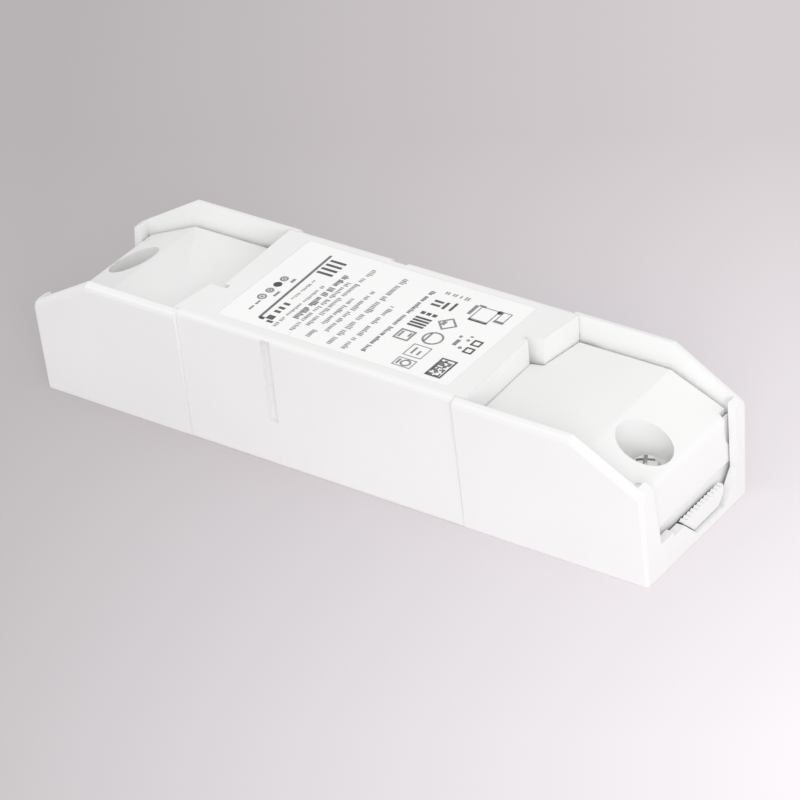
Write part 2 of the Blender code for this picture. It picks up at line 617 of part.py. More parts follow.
def disc(name, box, look):
    """Standing disc with a domed skin and a flat foot on the board."""
    x0, x1, y0, y1, z0, z1 = box
    t = x1 - x0
    r = min(y1 - y0, z1 - z0) / 2
    profile = [(0, -t / 2), (r * 0.8, -t / 2), (r * 0.95, -t * 0.38), (r, -t * 0.12), (r, t * 0.12),
               (r * 0.95, t * 0.38), (r * 0.8, t / 2), (0, t / 2)]
    obj = add_object(turned(profile, ((x0 + x1) / 2, (y0 + y1) / 2, z0 + r), 'X', 28), name, look, 40)
    fuse(obj, block(x0 + t * 0.3, x1 - t * 0.3, (y0 + y1) / 2 - r * 0.5, (y0 + y1) / 2 + r * 0.5,
                    z0, z0 + r * 0.5), "foot_of_" + name)


def brick(name, box, look, edge=0.5):
    """Moulded block with softened edges."""
    bm = block(*box)
    soften(bm, lambda e: min(v.co.z for v in e.verts) > box[4] + 0.01 * MM or upright(e), edge * MM, 2)
    add_object(bm, name, look, 40)


def make_choke():
    """Ring core lying on the board with two wound halves."""
    x0, x1, y0, y1, z0, z1 = cell(-0.80, -0.40, 0.06, 0.90, 0.42)
    cx, cy = (x0 + x1) / 2, (y0 + y1) / 2
    build = min(x1 - x0, y1 - y0) / 2
    wire = build * 0.12
    r1, r0 = build - wire - GAP, build * 0.52
    low, high = z0 + wire + GAP, z1 - wire - GAP
    core = turned([(r0, low), (r1, low), (r1, high), (r0, high), (r0, low)], (cx, cy, 0), segments=32)
    add_object(core, "choke_core", FERRITE, 35)
    for name, start in (("choke_winding_a", 20.0), ("choke_winding_b", 200.0)):
        steps = 14
        bm = bmesh.new()
        rings = []
        for i in range(steps + 1):
            a = math.radians(start + 140.0 * i / steps)
            flute = wire * 0.16 * (i % 2)
            out = [(r1 + GAP + wire - flute, z0 + flute), (r1 + GAP + wire - flute, z1 - flute),
                   (r0 - GAP - wire + flute, z1 - flute), (r0 - GAP - wire + flute, z0 + flute)]
            inn = [(r1 + GAP, low - GAP), (r1 + GAP, high + GAP), (r0 - GAP, high + GAP), (r0 - GAP, low - GAP)]
            rings.append([[bm.verts.new((cx + r * math.cos(a), cy + r * math.sin(a), z)) for r, z in loop]
                          for loop in (out, inn)])
        for k in range(steps):
            for loop in (0, 1):
                for i in range(4):
                    j = (i + 1) % 4
                    bm.faces.new((rings[k][loop][i], rings[k][loop][j],
                                  rings[k + 1][loop][j], rings[k + 1][loop][i]))
        for k in (0, steps):
            for i in range(4):
                j = (i + 1) % 4
                bm.faces.new((rings[k][0][i], rings[k][0][j], rings[k][1][j], rings[k][1][i]))
        add_object(bm, name, COPPER, 30)


def make_transformer():
    """Two-window core, bobbin with flanges and feet, and the winding between them."""
    x0, x1, y0, y1, z0, z1 = cell(0.02, 0.62, -0.38, 0.92, 0.86)
    cx, cy = (x0 + x1) / 2, (y0 + y1) / 2
    wide, deep = x1 - x0, y1 - y0
    leg, side_leg, yoke = wide * 0.20, wide * 0.10, deep * 0.13
    tall = (z1 - z0) * 0.42
    cz = z0 + (z1 - z0) * 0.54
    core = add_object(soften(block(x0, x1, y0, y1, cz - tall / 2, cz + tall / 2), upright, 0.6 * MM, 2),
                      "transformer_core", FERRITE, 40)
    for i, (a, b) in enumerate(((x0 + side_leg, cx - leg / 2), (cx + leg / 2, x1 - side_leg))):
        carve(core, block(a, b, y0 + yoke, y1 - yoke, cz - tall, cz + tall), "cut_core_window_%d" % i)

    # Bobbin: square tube round the middle leg, end flanges and two pin rails.
    shell = BOBBIN
    tube_x, tube_z = leg / 2 + GAP + shell, tall / 2 + GAP + shell
    win_y = deep / 2 - yoke - GAP
    flange_x = wide / 2 - side_leg - GAP
    flange_z = (z1 - z0) / 2 * 0.88
    bobbin = add_object(block(cx - tube_x, cx + tube_x, cy - win_y, cy + win_y, cz - tube_z, cz + tube_z),
                        "transformer_bobbin", ((0.10, 0.10, 0.11), 0.5, 0.0), 40)
    for i, y in enumerate((cy - win_y, cy + win_y - shell)):
        fuse(bobbin, soften(block(cx - flange_x, cx + flange_x, y, y + shell, cz - flange_z, cz + flange_z),
                            lambda e: abs(e.verts[0].co.y - e.verts[1].co.y) > shell / 2, 0.8 * MM, 2),
             "bobbin_flange_%d" % i)
        rail = y if i else y + shell - PIN_RAIL
        fuse(bobbin, block(cx - flange_x * 0.96, cx + flange_x * 0.96, rail, rail + PIN_RAIL,
                           z0, cz - flange_z * 0.9), "bobbin_rail_%d" % i)
    carve(bobbin, block(cx - leg / 2 - GAP, cx + leg / 2 + GAP, y0, y1, cz - tall / 2 - GAP, cz + tall / 2 + GAP),
         "cut_bobbin_tunnel")
    wind_y = win_y - shell - GAP
    wind_x, wind_z = flange_x - 0.2 * MM, flange_z - 0.7 * MM
    winding = soften(block(cx - wind_x, cx + wind_x, cy - wind_y, cy + wind_y, cz - wind_z, cz + wind_z),
                     lambda e: abs(e.verts[0].co.y - e.verts[1].co.y) > wind_y, 1.4 * MM, 3)
    wound = add_object(winding, "transformer_winding", ((0.75, 0.55, 0.08), 0.45, 0.0), 40)
    carve(wound, block(cx - tube_x - GAP, cx + tube_x + GAP, y0, y1, cz - tube_z - GAP, cz + tube_z + GAP),
         "cut_winding_tunnel")


def make_heatsink():
    """Bent plate with three fins and the power transistor on its face."""
    x0, x1, y0, y1, z0, z1 = cell(0.0, 0.40, -0.97, -0.45, 0.74)
    t = SINK
    sink = add_object(block(x0, x1, y0, y0 + t, z0, z1), "heatsink", ALUMINIUM, 30)
    for i in range(3):
        x = x0 + (x1 - x0 - t) * i / 2
        fuse(sink, block(x, x + t * 0.8, y0 + t / 2, y0 + t * 2.1, z1 - FIN, z1), "fin_%d" % i)
    fuse(sink, block(x0 + t, x1 - t, y0 + t / 2, y0 + t * 2.4, z0, z0 + t), "sink_foot")
    w = (x1 - x0) * 0.82
    cx = (x0 + x1) / 2
    tab0 = y0 + t + GAP
    seat = z0 + t * 2 + GAP
    body = add_object(soften(block(cx - w / 2, cx + w / 2, tab0, tab0 + TAB, seat, z1 - FIN - GAP),
                             lambda e: abs(e.verts[0].co.y - e.verts[1].co.y) > TAB / 2, TAB / 2, 1),
                      "power_transistor", BLACK, 40)
    fuse(body, block(cx - w / 2, cx + w / 2, tab0 + TAB / 2, tab0 + TAB_BODY, seat, seat + (z1 - z0) * 0.42),
         "transistor_body")
    for i in (-1, 0, 1):
        x = cx + i * w * 0.25
        fuse(body, block(x - LEG / 2, x + LEG / 2, tab0 + TAB_BODY / 2, tab0 + TAB_BODY / 2 + LEG / 2,
                         z0, seat + LEG), "transistor_leg_%d" % (i + 1))


def make_terminal(side, sign, poles):
    """Screw terminal block under a terminal cover, wire holes toward the end."""
    pitch = TERMINAL_PITCH
    wide = poles * pitch
    x0 = FAR_STEP + TERMINAL_BACK
    deep = BOARD_X - TERMINAL_EDGE - x0
    z0 = BOARD_TOP + GAP
    tall = (LID_TOP - LID_SHELL - z0) * 0.74
    outline = [(x0, z0), (x0 + deep, z0), (x0 + deep, z0 + tall * 0.68), (x0 + deep * 0.72, z0 + tall),
               (x0 + deep * 0.16, z0 + tall), (x0, z0 + tall * 0.86)]
    bm = side_sweep(outline, lambda z: -wide / 2, lambda z: wide / 2)
    name = "input_terminal" if side == "left" else "output_terminal"
    body = add_object(turn_about_middle(bm, sign), name, ((0.12, 0.13, 0.14), 0.45, 0.0), 35)
    well = pitch * 0.28
    sx = x0 + deep * 0.44
    for i in range(poles):
        y = -wide / 2 + (i + 0.5) * pitch
        carve(body, turn_about_middle(drum((x0 + deep, y, z0 + tall * 0.30), pitch * 0.24, deep, 'X', 16), sign),
             "cut_wire_%s_%d" % (side, i))
        carve(body, turn_about_middle(drum((sx, y, z0 + tall), well, tall * 0.8, segments=16), sign),
             "cut_well_%s_%d" % (side, i))
        r = well - GAP
        screw = turned([(0, z0 + tall * 0.62), (r, z0 + tall * 0.62), (r, z0 + tall * 0.86),
                        (r * 0.85, z0 + tall * 0.9), (0, z0 + tall * 0.9)], (sx, y, 0), segments=16)
        piece = add_object(turn_about_middle(screw, sign), "%s_screw_%d" % (name, i + 1), STEEL, 35)
        carve(piece, turn_about_middle(block(sx - r * 1.2, sx + r * 1.2, y - 0.35 * MM, y + 0.35 * MM,
                                            z0 + tall * 0.80, z0 + tall), sign),
             "cut_slot_%s_%d" % (side, i))


def make_board_parts():
    lying("fuse", cell(-0.99, -0.85, -0.80, -0.14, 0.17), ((0.55, 0.50, 0.42), 0.35, 0.0), 'Y')
    disc("thermistor", cell(-0.98, -0.88, 0.08, 0.62, 0.36), ((0.10, 0.13, 0.10), 0.5, 0.0))
    disc("varistor", cell(-0.80, -0.67, -0.90, -0.20, 0.46), ((0.06, 0.16, 0.45), 0.45, 0.0))
    brick("x_capacitor", cell(-0.62, -0.40, -0.92, -0.02, 0.56), ((0.70, 0.56, 0.10), 0.4, 0.0))
    make_choke()
    brick("bridge_rectifier", cell(-0.34, -0.08, -0.94, -0.52, 0.16), BLACK)
    can("input_capacitor", cell(-0.35, -0.03, -0.44, 0.22, 0.82), ((0.04, 0.05, 0.09), 0.35, 0.0))
    brick("controller_chip", cell(-0.33, -0.10, 0.40, 0.74, 0.10), BLACK, 0.3)
    make_heatsink()
    make_transformer()
    disc("y_capacitor", cell(0.47, 0.56, -0.96, -0.50, 0.32), ((0.05, 0.22, 0.42), 0.45, 0.0))
    brick("optocoupler", cell(0.68, 0.90, -0.95, -0.70, 0.16), ((0.82, 0.82, 0.80), 0.5, 0.0), 0.3)
    can("output_choke", cell(0.68, 0.95, -0.60, -0.10, 0.46), FERRITE)
    can("output_capacitor_a", cell(0.68, 0.98, -0.04, 0.44, 0.66), ((0.04, 0.05, 0.09), 0.35, 0.0))
    can("output_capacitor_b", cell(0.68, 0.98, 0.50, 0.98, 0.66), ((0.04, 0.05, 0.09), 0.35, 0.0))
    lying("output_diode", cell(-0.28, 0.0, 0.80, 0.97, 0.14), BLACK, 'X', 0.06, 0.98)


def main():
    for obj in list(bpy.data.objects):
        bpy.data.objects.remove(obj, do_unlink=True)
    make_base()
    make_centre_cover()
    make_label()
    at_ends(make_terminal_cover)
    at_ends(make_cover_screw)
    at_ends(make_cord_grip)
    make_board()
    make_board_parts()
    make_terminal("right", 1.0, 2)
    make_terminal("left", -1.0, 3)


main()
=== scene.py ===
"""Looks of a white plastic LED driver: moulded housing, printed label, screws, inner parts and the stage."""

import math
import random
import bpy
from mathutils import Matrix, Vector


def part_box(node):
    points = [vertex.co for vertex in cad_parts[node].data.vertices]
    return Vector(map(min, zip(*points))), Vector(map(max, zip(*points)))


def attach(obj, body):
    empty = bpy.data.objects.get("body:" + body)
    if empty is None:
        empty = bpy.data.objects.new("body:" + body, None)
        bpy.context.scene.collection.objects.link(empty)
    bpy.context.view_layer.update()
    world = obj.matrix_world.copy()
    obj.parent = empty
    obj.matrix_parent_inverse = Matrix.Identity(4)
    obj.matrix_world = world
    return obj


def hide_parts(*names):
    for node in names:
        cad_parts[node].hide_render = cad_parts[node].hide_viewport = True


bl_info = {
    "name": "LED driver looks",
    "version": (1, 0, 0),
    "blender": (4, 5, 0),
    "location": "View3D > Sidebar > Driver",
    "description": "Dresses the driver's parts and sets up its stage",
    "category": "Object",
}

import bmesh
import bpy
from bpy.props import FloatProperty, FloatVectorProperty, IntProperty, PointerProperty
from mathutils import Matrix, Vector

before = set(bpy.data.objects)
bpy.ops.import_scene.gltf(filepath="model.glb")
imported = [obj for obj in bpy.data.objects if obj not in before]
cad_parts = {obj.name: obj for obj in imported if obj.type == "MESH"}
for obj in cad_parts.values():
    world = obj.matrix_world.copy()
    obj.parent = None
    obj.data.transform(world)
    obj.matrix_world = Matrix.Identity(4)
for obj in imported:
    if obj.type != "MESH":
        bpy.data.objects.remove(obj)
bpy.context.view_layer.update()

MM = 0.001
NEAR = 0.01 * MM                    # play between pieces, and reach of a face that is picked by its place
FILM_PROUD = 0.02 * MM              # label film over the face of the CAD label
PRINT_GAP = 0.003 * MM              # print over the label film
FLOOR_DROP = 0.02 * MM              # floor under the driver's foot
SMOOTH_LIMIT = math.radians(30)     # sharpest fold of a copied cover that still shades smoothly
SENSOR = 36.0                       # width of the camera's sensor in millimetres
TONE_HEIGHT = 0.75                  # height of the view that the floor's tones span, as a share of its width
MOULDED = ("housing_base", "centre_cover", "terminal_cover_left", "terminal_cover_right",
           "cord_grip_left", "cord_grip_right")
SCREWS = ("cover_screw_left", "cover_screw_right")


class PlasticSettings(bpy.types.PropertyGroup):
    colour: FloatVectorProperty(name="Colour", description="Colour of the moulded housing", subtype='COLOR',
                                size=3, min=0.0, max=1.0, default=(0.900, 0.900, 0.895))
    shade: FloatProperty(name="Shade", description="How much the tone drifts over the moulding", default=0.03,
                         min=0.0, max=0.3, subtype='FACTOR')
    roughness: FloatProperty(name="Roughness", description="Middle of the satin finish", default=0.42,
                             min=0.0, max=1.0, subtype='FACTOR')
    grain: FloatProperty(name="Grain", description="Size of the spark-eroded grain", default=0.35 * MM,
                         min=0.05 * MM, unit='LENGTH', subtype='DISTANCE')
    grain_depth: FloatProperty(name="Grain depth", description="Depth of the grain", default=0.012 * MM,
                               min=0.0, unit='LENGTH', subtype='DISTANCE')
    edge: FloatProperty(name="Edge", description="Radius of the softened edges", default=0.15 * MM,
                        min=0.0, unit='LENGTH', subtype='DISTANCE')


class LabelSettings(bpy.types.PropertyGroup):
    film: FloatVectorProperty(name="Film", description="Colour of the label film", subtype='COLOR',
                              size=3, min=0.0, max=1.0, default=(0.97, 0.97, 0.965))
    ink: FloatVectorProperty(name="Ink", description="Colour of the bold print", subtype='COLOR',
                             size=3, min=0.0, max=1.0, default=(0.035, 0.035, 0.037))
    pale_ink: FloatVectorProperty(name="Pale ink", description="Colour of the small print", subtype='COLOR',
                                  size=3, min=0.0, max=1.0, default=(0.28, 0.28, 0.285))
    ink_depth: FloatProperty(name="Ink depth", description="Thickness of the printed layer", default=0.02 * MM,
                             min=0.001 * MM, unit='LENGTH', subtype='DISTANCE')
    stroke: FloatProperty(name="Stroke", description="Width of a line in the signs", default=0.45 * MM,
                          min=0.05 * MM, unit='LENGTH', subtype='DISTANCE')
    tick: FloatProperty(name="Tick", description="Width of one tick in a row of print", default=0.40 * MM,
                        min=0.05 * MM, unit='LENGTH', subtype='DISTANCE')
    seed: IntProperty(name="Seed", description="Pattern of the rows of ticks", default=7, min=0)


class JointSettings(bpy.types.PropertyGroup):
    near: FloatProperty(name="Near joint", description="Near right joint from the middle", default=32.2 * MM,
                        subtype='DISTANCE', unit='LENGTH')
    far: FloatProperty(name="Far joint", description="Far right joint from the middle", default=36.2 * MM,
                       subtype='DISTANCE', unit='LENGTH')
    near_deck: FloatProperty(name="Near deck end", description="Near end of the deck from the middle",
                             default=34.2 * MM, subtype='DISTANCE', unit='LENGTH')
    far_deck: FloatProperty(name="Far deck end", description="Far end of the deck from the middle",
                            default=37.5 * MM, subtype='DISTANCE', unit='LENGTH')
    gap: FloatProperty(name="Gap", description="Width of a joint", default=0.3 * MM, min=0.1 * MM,
                       subtype='DISTANCE', unit='LENGTH')
    near_sunk: FloatProperty(name="Near sunk", description="Laps of the near right joint below the skirt's face",
                             default=0.01 * MM, min=0.0, subtype='DISTANCE', unit='LENGTH')
    far_sunk: FloatProperty(name="Far sunk", description="Laps of the far right joint below the skirt's face",
                            default=0.07 * MM, min=0.0, subtype='DISTANCE', unit='LENGTH')
    foot: FloatProperty(name="Foot", description="Half width of the housing at its foot", default=18.6 * MM,
                        subtype='DISTANCE', unit='LENGTH')
    wall: FloatProperty(name="Wall", description="Thickness of an end wall", default=1.8 * MM,
                        subtype='DISTANCE', unit='LENGTH')
    plate_edge: FloatProperty(name="Plate edge", description="Half width of the base plate between the skirts",
                              default=17.05 * MM, subtype='DISTANCE', unit='LENGTH')
    skirt_lean: FloatProperty(name="Skirt lean", description="Outward run of a skirt for each unit up",
                              default=0.0146)
    wall_lean: FloatProperty(name="Wall lean", description="Outward run of an end wall for each unit up",
                             default=0.0455)
    lap: FloatProperty(name="Lap", description="Thickness of a standing lap", default=1.1 * MM, min=0.2 * MM,
                       subtype='DISTANCE', unit='LENGTH')
    rim: FloatProperty(name="Rim", description="Radius at the rim of a standing lap", default=1.4 * MM, min=0.0,
                       subtype='DISTANCE', unit='LENGTH')
    tongue: FloatProperty(name="Tongue", description="Height of a lying lap", default=4.0 * MM, min=0.5 * MM,
                          subtype='DISTANCE', unit='LENGTH')


class JawSettings(bpy.types.PropertyGroup):
    cut: FloatProperty(name="Cut", description="Foot of a terminal cover's end wall cut back by this much",
                       default=2.0 * MM, min=0.0, subtype='DISTANCE', unit='LENGTH')
    inset: FloatProperty(name="Inset", description="Jaw's face behind the face of the end wall", default=0.6 * MM,
                         min=0.0, subtype='DISTANCE', unit='LENGTH')
    drop: FloatProperty(name="Drop", description="Jaw's foot below the old foot of the end wall", default=1.2 * MM,
                        min=0.0, subtype='DISTANCE', unit='LENGTH')
    thickness: FloatProperty(name="Thickness", description="Thickness of the jaw", default=0.55 * MM,
                             min=0.1 * MM, subtype='DISTANCE', unit='LENGTH')
    bar: FloatProperty(name="Bar", description="Thickness of the cord grip's bar", default=1.2 * MM,
                       min=0.1 * MM, subtype='DISTANCE', unit='LENGTH')
    tab: FloatProperty(name="Tab", description="Inner edge of the jaw's lower end, from the middle",
                       default=9.2 * MM, subtype='DISTANCE', unit='LENGTH')
    tab_foot: FloatProperty(name="Tab foot", description="Foot of the jaw's lower end", default=2.6 * MM,
                            subtype='DISTANCE', unit='LENGTH')
    notch: FloatProperty(name="Notch", description="Inner edge of the rib behind the notch, from the middle",
                         default=13.9 * MM, subtype='DISTANCE', unit='LENGTH')
    notch_low: FloatProperty(name="Notch foot", description="Foot of that rib", default=12.2 * MM,
                             subtype='DISTANCE', unit='LENGTH')
    notch_high: FloatProperty(name="Notch top", description="Top of that rib", default=18.9 * MM,
                              subtype='DISTANCE', unit='LENGTH')
    notch_inset: FloatProperty(name="Notch inset", description="Rib's face behind the face of the end wall",
                               default=0.35 * MM, subtype='DISTANCE', unit='LENGTH')
    trim: FloatProperty(name="Trim", description="Taken off each long edge of a terminal cover", default=0.6 * MM,
                        min=0.0, subtype='DISTANCE', unit='LENGTH')
    lip: FloatProperty(name="Lip", description="Reach of the lip that closes the slit at the deck's end",
                       default=0.27 * MM, min=0.0, subtype='DISTANCE', unit='LENGTH')
    lip_sunk: FloatProperty(name="Lip sunk", description="Lip below the cover's flat top", default=0.15 * MM,
                            min=0.0, subtype='DISTANCE', unit='LENGTH')
    lip_foot: FloatProperty(name="Lip foot", description="Foot of the lip below the cover's flat top",
                            default=1.1 * MM, min=0.2 * MM, subtype='DISTANCE', unit='LENGTH')
    lip_end: FloatProperty(name="Lip end", description="Outer end of the lip from the middle",
                           default=42.0 * MM, subtype='DISTANCE', unit='LENGTH')


class StageSettings(bpy.types.PropertyGroup):
    azimuth: FloatProperty(name="Azimuth", description="Camera's turn round the driver",
                           default=math.radians(37.73), subtype='ANGLE', unit='ROTATION')
    elevation: FloatProperty(name="Elevation", description="Camera's height over the floor",
                             default=math.radians(33.18), subtype='ANGLE', unit='ROTATION')
    roll: FloatProperty(name="Roll", description="Camera's turn about its own view",
                        default=math.radians(-5.23), subtype='ANGLE', unit='ROTATION')
    aside: FloatProperty(name="Aside", description="Camera moved to its own right", default=2.89 * MM,
                         subtype='DISTANCE', unit='LENGTH')
    above: FloatProperty(name="Above", description="Camera moved up in its own view", default=7.71 * MM,
                         subtype='DISTANCE', unit='LENGTH')
    distance: FloatProperty(name="Distance", description="Camera to the foot of the driver",
                            default=789.2 * MM, min=0.1, subtype='DISTANCE', unit='LENGTH')
    lens: FloatProperty(name="Lens", description="Focal length on a sensor 36 mm wide, in millimetres",
                        default=172.5, min=10.0)
    # The floor's four tones paint a light falloff: pale at the front right towards the key lamp, darker at the
    # back left.
    back_left: FloatVectorProperty(name="Floor, back left", description="Floor's tone at the view's upper left",
                                   subtype='COLOR', size=3, min=0.0, max=1.0, default=(0.504, 0.473, 0.485))
    back_right: FloatVectorProperty(name="Floor, back right", description="Floor's tone at the view's upper right",
                                    subtype='COLOR', size=3, min=0.0, max=1.0, default=(0.698, 0.650, 0.671))
    front_left: FloatVectorProperty(name="Floor, front left", description="Floor's tone at the view's lower left",
                                    subtype='COLOR', size=3, min=0.0, max=1.0, default=(0.588, 0.554, 0.569))
    front_right: FloatVectorProperty(name="Floor, front right",
                                     description="Floor's tone at the view's lower right",
                                     subtype='COLOR', size=3, min=0.0, max=1.0, default=(1.000, 0.958, 1.000))
    sky: FloatProperty(name="Sky", description="Strength of the even light", default=0.875, min=0.0)
    key: FloatProperty(name="Key", description="Power of the large lamp at the right front", default=5.3,
                       min=0.0, unit='POWER')
    key_size: FloatProperty(name="Key size", description="Width of that lamp", default=0.7, min=0.01,
                            subtype='DISTANCE', unit='LENGTH')
    key_place: FloatVectorProperty(name="Key place", description="Place of that lamp", size=3,
                                   default=(0.82, -0.89, 0.49), subtype='TRANSLATION', unit='LENGTH')
    floor: FloatProperty(name="Floor", description="Radius of the floor", default=3.0, min=0.5,
                         subtype='DISTANCE', unit='LENGTH')


def add_node(tree, kind, inputs=None, **options):
    """Add a shader node; inputs are values or sockets, and options are its settings."""
    made = tree.nodes.new(kind)
    for key, value in options.items():
        setattr(made, key, value)
    for key, value in (inputs or {}).items():
        if isinstance(value, bpy.types.NodeSocket):
            tree.links.new(value, made.inputs[key])
        else:
            made.inputs[key].default_value = value
    return made


def new_material(name):
    """Material with its tree, its surface shader and a socket of object coordinates."""
    mat = bpy.data.materials.new(name)
    mat.use_nodes = True
    tree = mat.node_tree
    place = add_node(tree, 'ShaderNodeTexCoord').outputs["Object"]
    return mat, tree, tree.nodes["Principled BSDF"], place


def noise(tree, place, size, detail=3.0, stretch=None):
    """Grey noise whose features are about size across."""
    if stretch:
        place = add_node(tree, 'ShaderNodeMapping', {"Vector": place, "Scale": stretch}).outputs["Vector"]
    made = add_node(tree, 'ShaderNodeTexNoise', {"Vector": place, "Scale": 1.0 / size, "Detail": detail})
    return made.outputs["Fac"]


def spread(tree, value, low, high, start=0.3, end=0.7):
    """Map grey values onto a range."""
    return add_node(tree, 'ShaderNodeMapRange', {"Value": value, "From Min": start, "From Max": end,
                                                 "To Min": low, "To Max": high}).outputs["Result"]


def tones(tree, factor, first, second):
    """Blend between two colours."""
    ramp = add_node(tree, 'ShaderNodeValToRGB', {"Fac": factor})
    ramp.color_ramp.elements[0].position = 0.3
    ramp.color_ramp.elements[1].position = 0.7
    ramp.color_ramp.elements[0].color = (*first, 1.0)
    ramp.color_ramp.elements[1].color = (*second, 1.0)
    return ramp.outputs["Color"]


def darker(colour, share):
    """Colour with a share of its light taken off."""
    return tuple(c * (1.0 - share) for c in colour)


def mix(tree, factor, first, second):
    """Even blend between two colours, each a value or a socket."""
    made = add_node(tree, 'ShaderNodeMix', data_type='RGBA')
    sockets = [s for s in made.inputs if s.type == 'RGBA']
    tree.links.new(factor, made.inputs[0])
    for socket, colour in zip(sockets, (first, second)):
        if isinstance(colour, bpy.types.NodeSocket):
            tree.links.new(colour, socket)
        else:
            socket.default_value = (*colour, 1.0)
    return next(s for s in made.outputs if s.type == 'RGBA')


def bump(tree, height, depth, normal=None):
    """Bump of a real depth in metres."""
    inputs = {"Height": height, "Distance": depth, "Strength": 1.0}
    if normal:
        inputs["Normal"] = normal
    return add_node(tree, 'ShaderNodeBump', inputs).outputs["Normal"]


def soft_edges(tree, radius):
    """Normal that rounds the edges of a moulding."""
    return add_node(tree, 'ShaderNodeBevel', {"Radius": radius}, samples=6).outputs["Normal"]


def satin_plastic(settings):
    """White moulded plastic with a spark-eroded grain, flow marks and softened edges."""
    mat, tree, shader, place = new_material("satin_plastic")
    drift = noise(tree, place, 32 * MM, 2.0)
    colour = tones(tree, drift, darker(settings.colour, settings.shade), settings.colour)
    flow = noise(tree, place, 9 * MM, 3.0, (0.35, 1.0, 1.0))
    grain = noise(tree, place, settings.grain, 2.0)
    tree.links.new(colour, shader.inputs["Base Color"])
    tree.links.new(spread(tree, flow, settings.roughness - 0.05, settings.roughness + 0.06),
                   shader.inputs["Roughness"])
    tree.links.new(bump(tree, grain, settings.grain_depth, soft_edges(tree, settings.edge)),
                   shader.inputs["Normal"])
    shader.inputs["IOR"].default_value = 1.49
    return mat


def housing_plastic(context):
    """The housing's plastic, made here if the housing hasn't got it yet."""
    return bpy.data.materials.get("satin_plastic") or satin_plastic(context.scene.driver_plastic)


def plain_plastic(name, colour, roughness, grain=0.5 * MM, depth=0.02 * MM):
    """Moulded or dipped skin of a small part."""
    mat, tree, shader, place = new_material(name)
    drift = noise(tree, place, 4 * MM)
    tree.links.new(tones(tree, drift, darker(colour, 0.18), colour), shader.inputs["Base Color"])
    tree.links.new(spread(tree, drift, roughness - 0.07, roughness + 0.07), shader.inputs["Roughness"])
    tree.links.new(bump(tree, noise(tree, place, grain, 2.0), depth), shader.inputs["Normal"])
    return mat


def metal(name, colour, roughness, stretch, metallic=1.0):
    """Metal with fine drawn or turned marks along one way."""
    mat, tree, shader, place = new_material(name)
    marks = noise(tree, place, 0.4 * MM, 4.0, stretch)
    cloud = noise(tree, place, 3 * MM)
    tree.links.new(tones(tree, cloud, darker(colour, 0.2), colour), shader.inputs["Base Color"])
    tree.links.new(spread(tree, marks, roughness - 0.1, roughness + 0.12), shader.inputs["Roughness"])
    tree.links.new(bump(tree, marks, 0.008 * MM, soft_edges(tree, 0.1 * MM)), shader.inputs["Normal"])
    shader.inputs["Metallic"].default_value = metallic
    return mat


def film(settings):
    """Printed polyester film: very even, a little glossier than the housing."""
    mat, tree, shader, place = new_material("label_film")
    cloud = noise(tree, place, 12 * MM, 2.0)
    ripple = noise(tree, place, 3.5 * MM, 1.0)
    tree.links.new(tones(tree, cloud, darker(settings.film, 0.015), settings.film), shader.inputs["Base Color"])
    tree.links.new(spread(tree, ripple, 0.30, 0.38), shader.inputs["Roughness"])
    tree.links.new(bump(tree, ripple, 0.01 * MM), shader.inputs["Normal"])
    return mat


def ink(name, colour, fade):
    """Printed ink that thins out in places."""
    mat, tree, shader, place = new_material(name)
    wear = noise(tree, place, 0.9 * MM, 4.0)
    pale = tuple(c + (0.9 - c) * fade for c in colour)
    tree.links.new(tones(tree, wear, colour, pale), shader.inputs["Base Color"])
    tree.links.new(spread(tree, wear, 0.38, 0.52), shader.inputs["Roughness"])
    return mat


def laminate():
    """Green solder mask over copper tracks."""
    mat, tree, shader, place = new_material("circuit_laminate")
    brick = add_node(tree, 'ShaderNodeTexBrick', {"Vector": place, "Scale": 1.0 / (12 * MM), "Mortar Size": 0.05,
                                                  "Color1": (0.018, 0.095, 0.040, 1.0),
                                                  "Color2": (0.022, 0.115, 0.048, 1.0),
                                                  "Mortar": (0.045, 0.200, 0.080, 1.0)})
    tree.links.new(brick.outputs["Color"], shader.inputs["Base Color"])
    tree.links.new(bump(tree, brick.outputs["Fac"], 0.03 * MM), shader.inputs["Normal"])
    tree.links.new(spread(tree, noise(tree, place, 2 * MM), 0.22, 0.34), shader.inputs["Roughness"])
    return mat


def wound_wire():
    """Enamelled wire laid turn beside turn."""
    mat, tree, shader, place = new_material("enamelled_wire")
    turns = add_node(tree, 'ShaderNodeTexWave', {"Vector": place, "Scale": 1.0 / (2.2 * MM), "Distortion": 0.6,
                                                 "Detail": 1.0}, bands_direction='X')
    turn_height_and_shade = turns.outputs["Fac"]
    # The colour is painted shade and highlight: darker in the grooves between turns, lighter on their crests.
    tree.links.new(tones(tree, turn_height_and_shade, (0.26, 0.085, 0.028), (0.62, 0.245, 0.095)), shader.inputs["Base Color"])
    tree.links.new(bump(tree, turn_height_and_shade, 0.12 * MM), shader.inputs["Normal"])
    shader.inputs["Metallic"].default_value = 1.0
    tree.links.new(spread(tree, noise(tree, place, 1 * MM), 0.24, 0.36), shader.inputs["Roughness"])
    return mat


def wound_tape():
    """Yellow tape in overlapping layers round the winding."""
    mat, tree, shader, place = new_material("winding_tape")
    laps = add_node(tree, 'ShaderNodeTexWave', {"Vector": place, "Scale": 1.0 / (14 * MM), "Distortion": 0.3},
                    bands_direction='Y', wave_profile='SAW')
    edge = laps.outputs["Fac"]
    # The colour is painted shade and highlight: darkest at the foot of each lap's edge, lightest at its top.
    tree.links.new(tones(tree, edge, (0.55, 0.36, 0.035), (0.80, 0.58, 0.09)), shader.inputs["Base Color"])
    tree.links.new(bump(tree, edge, 0.06 * MM), shader.inputs["Normal"])
    tree.links.new(spread(tree, noise(tree, place, 2 * MM), 0.26, 0.40), shader.inputs["Roughness"])
    return mat


def dress(names, mat):
    """Give CAD nodes a material."""
    for name in names:
        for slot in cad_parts[name].material_slots:
            slot.material = mat


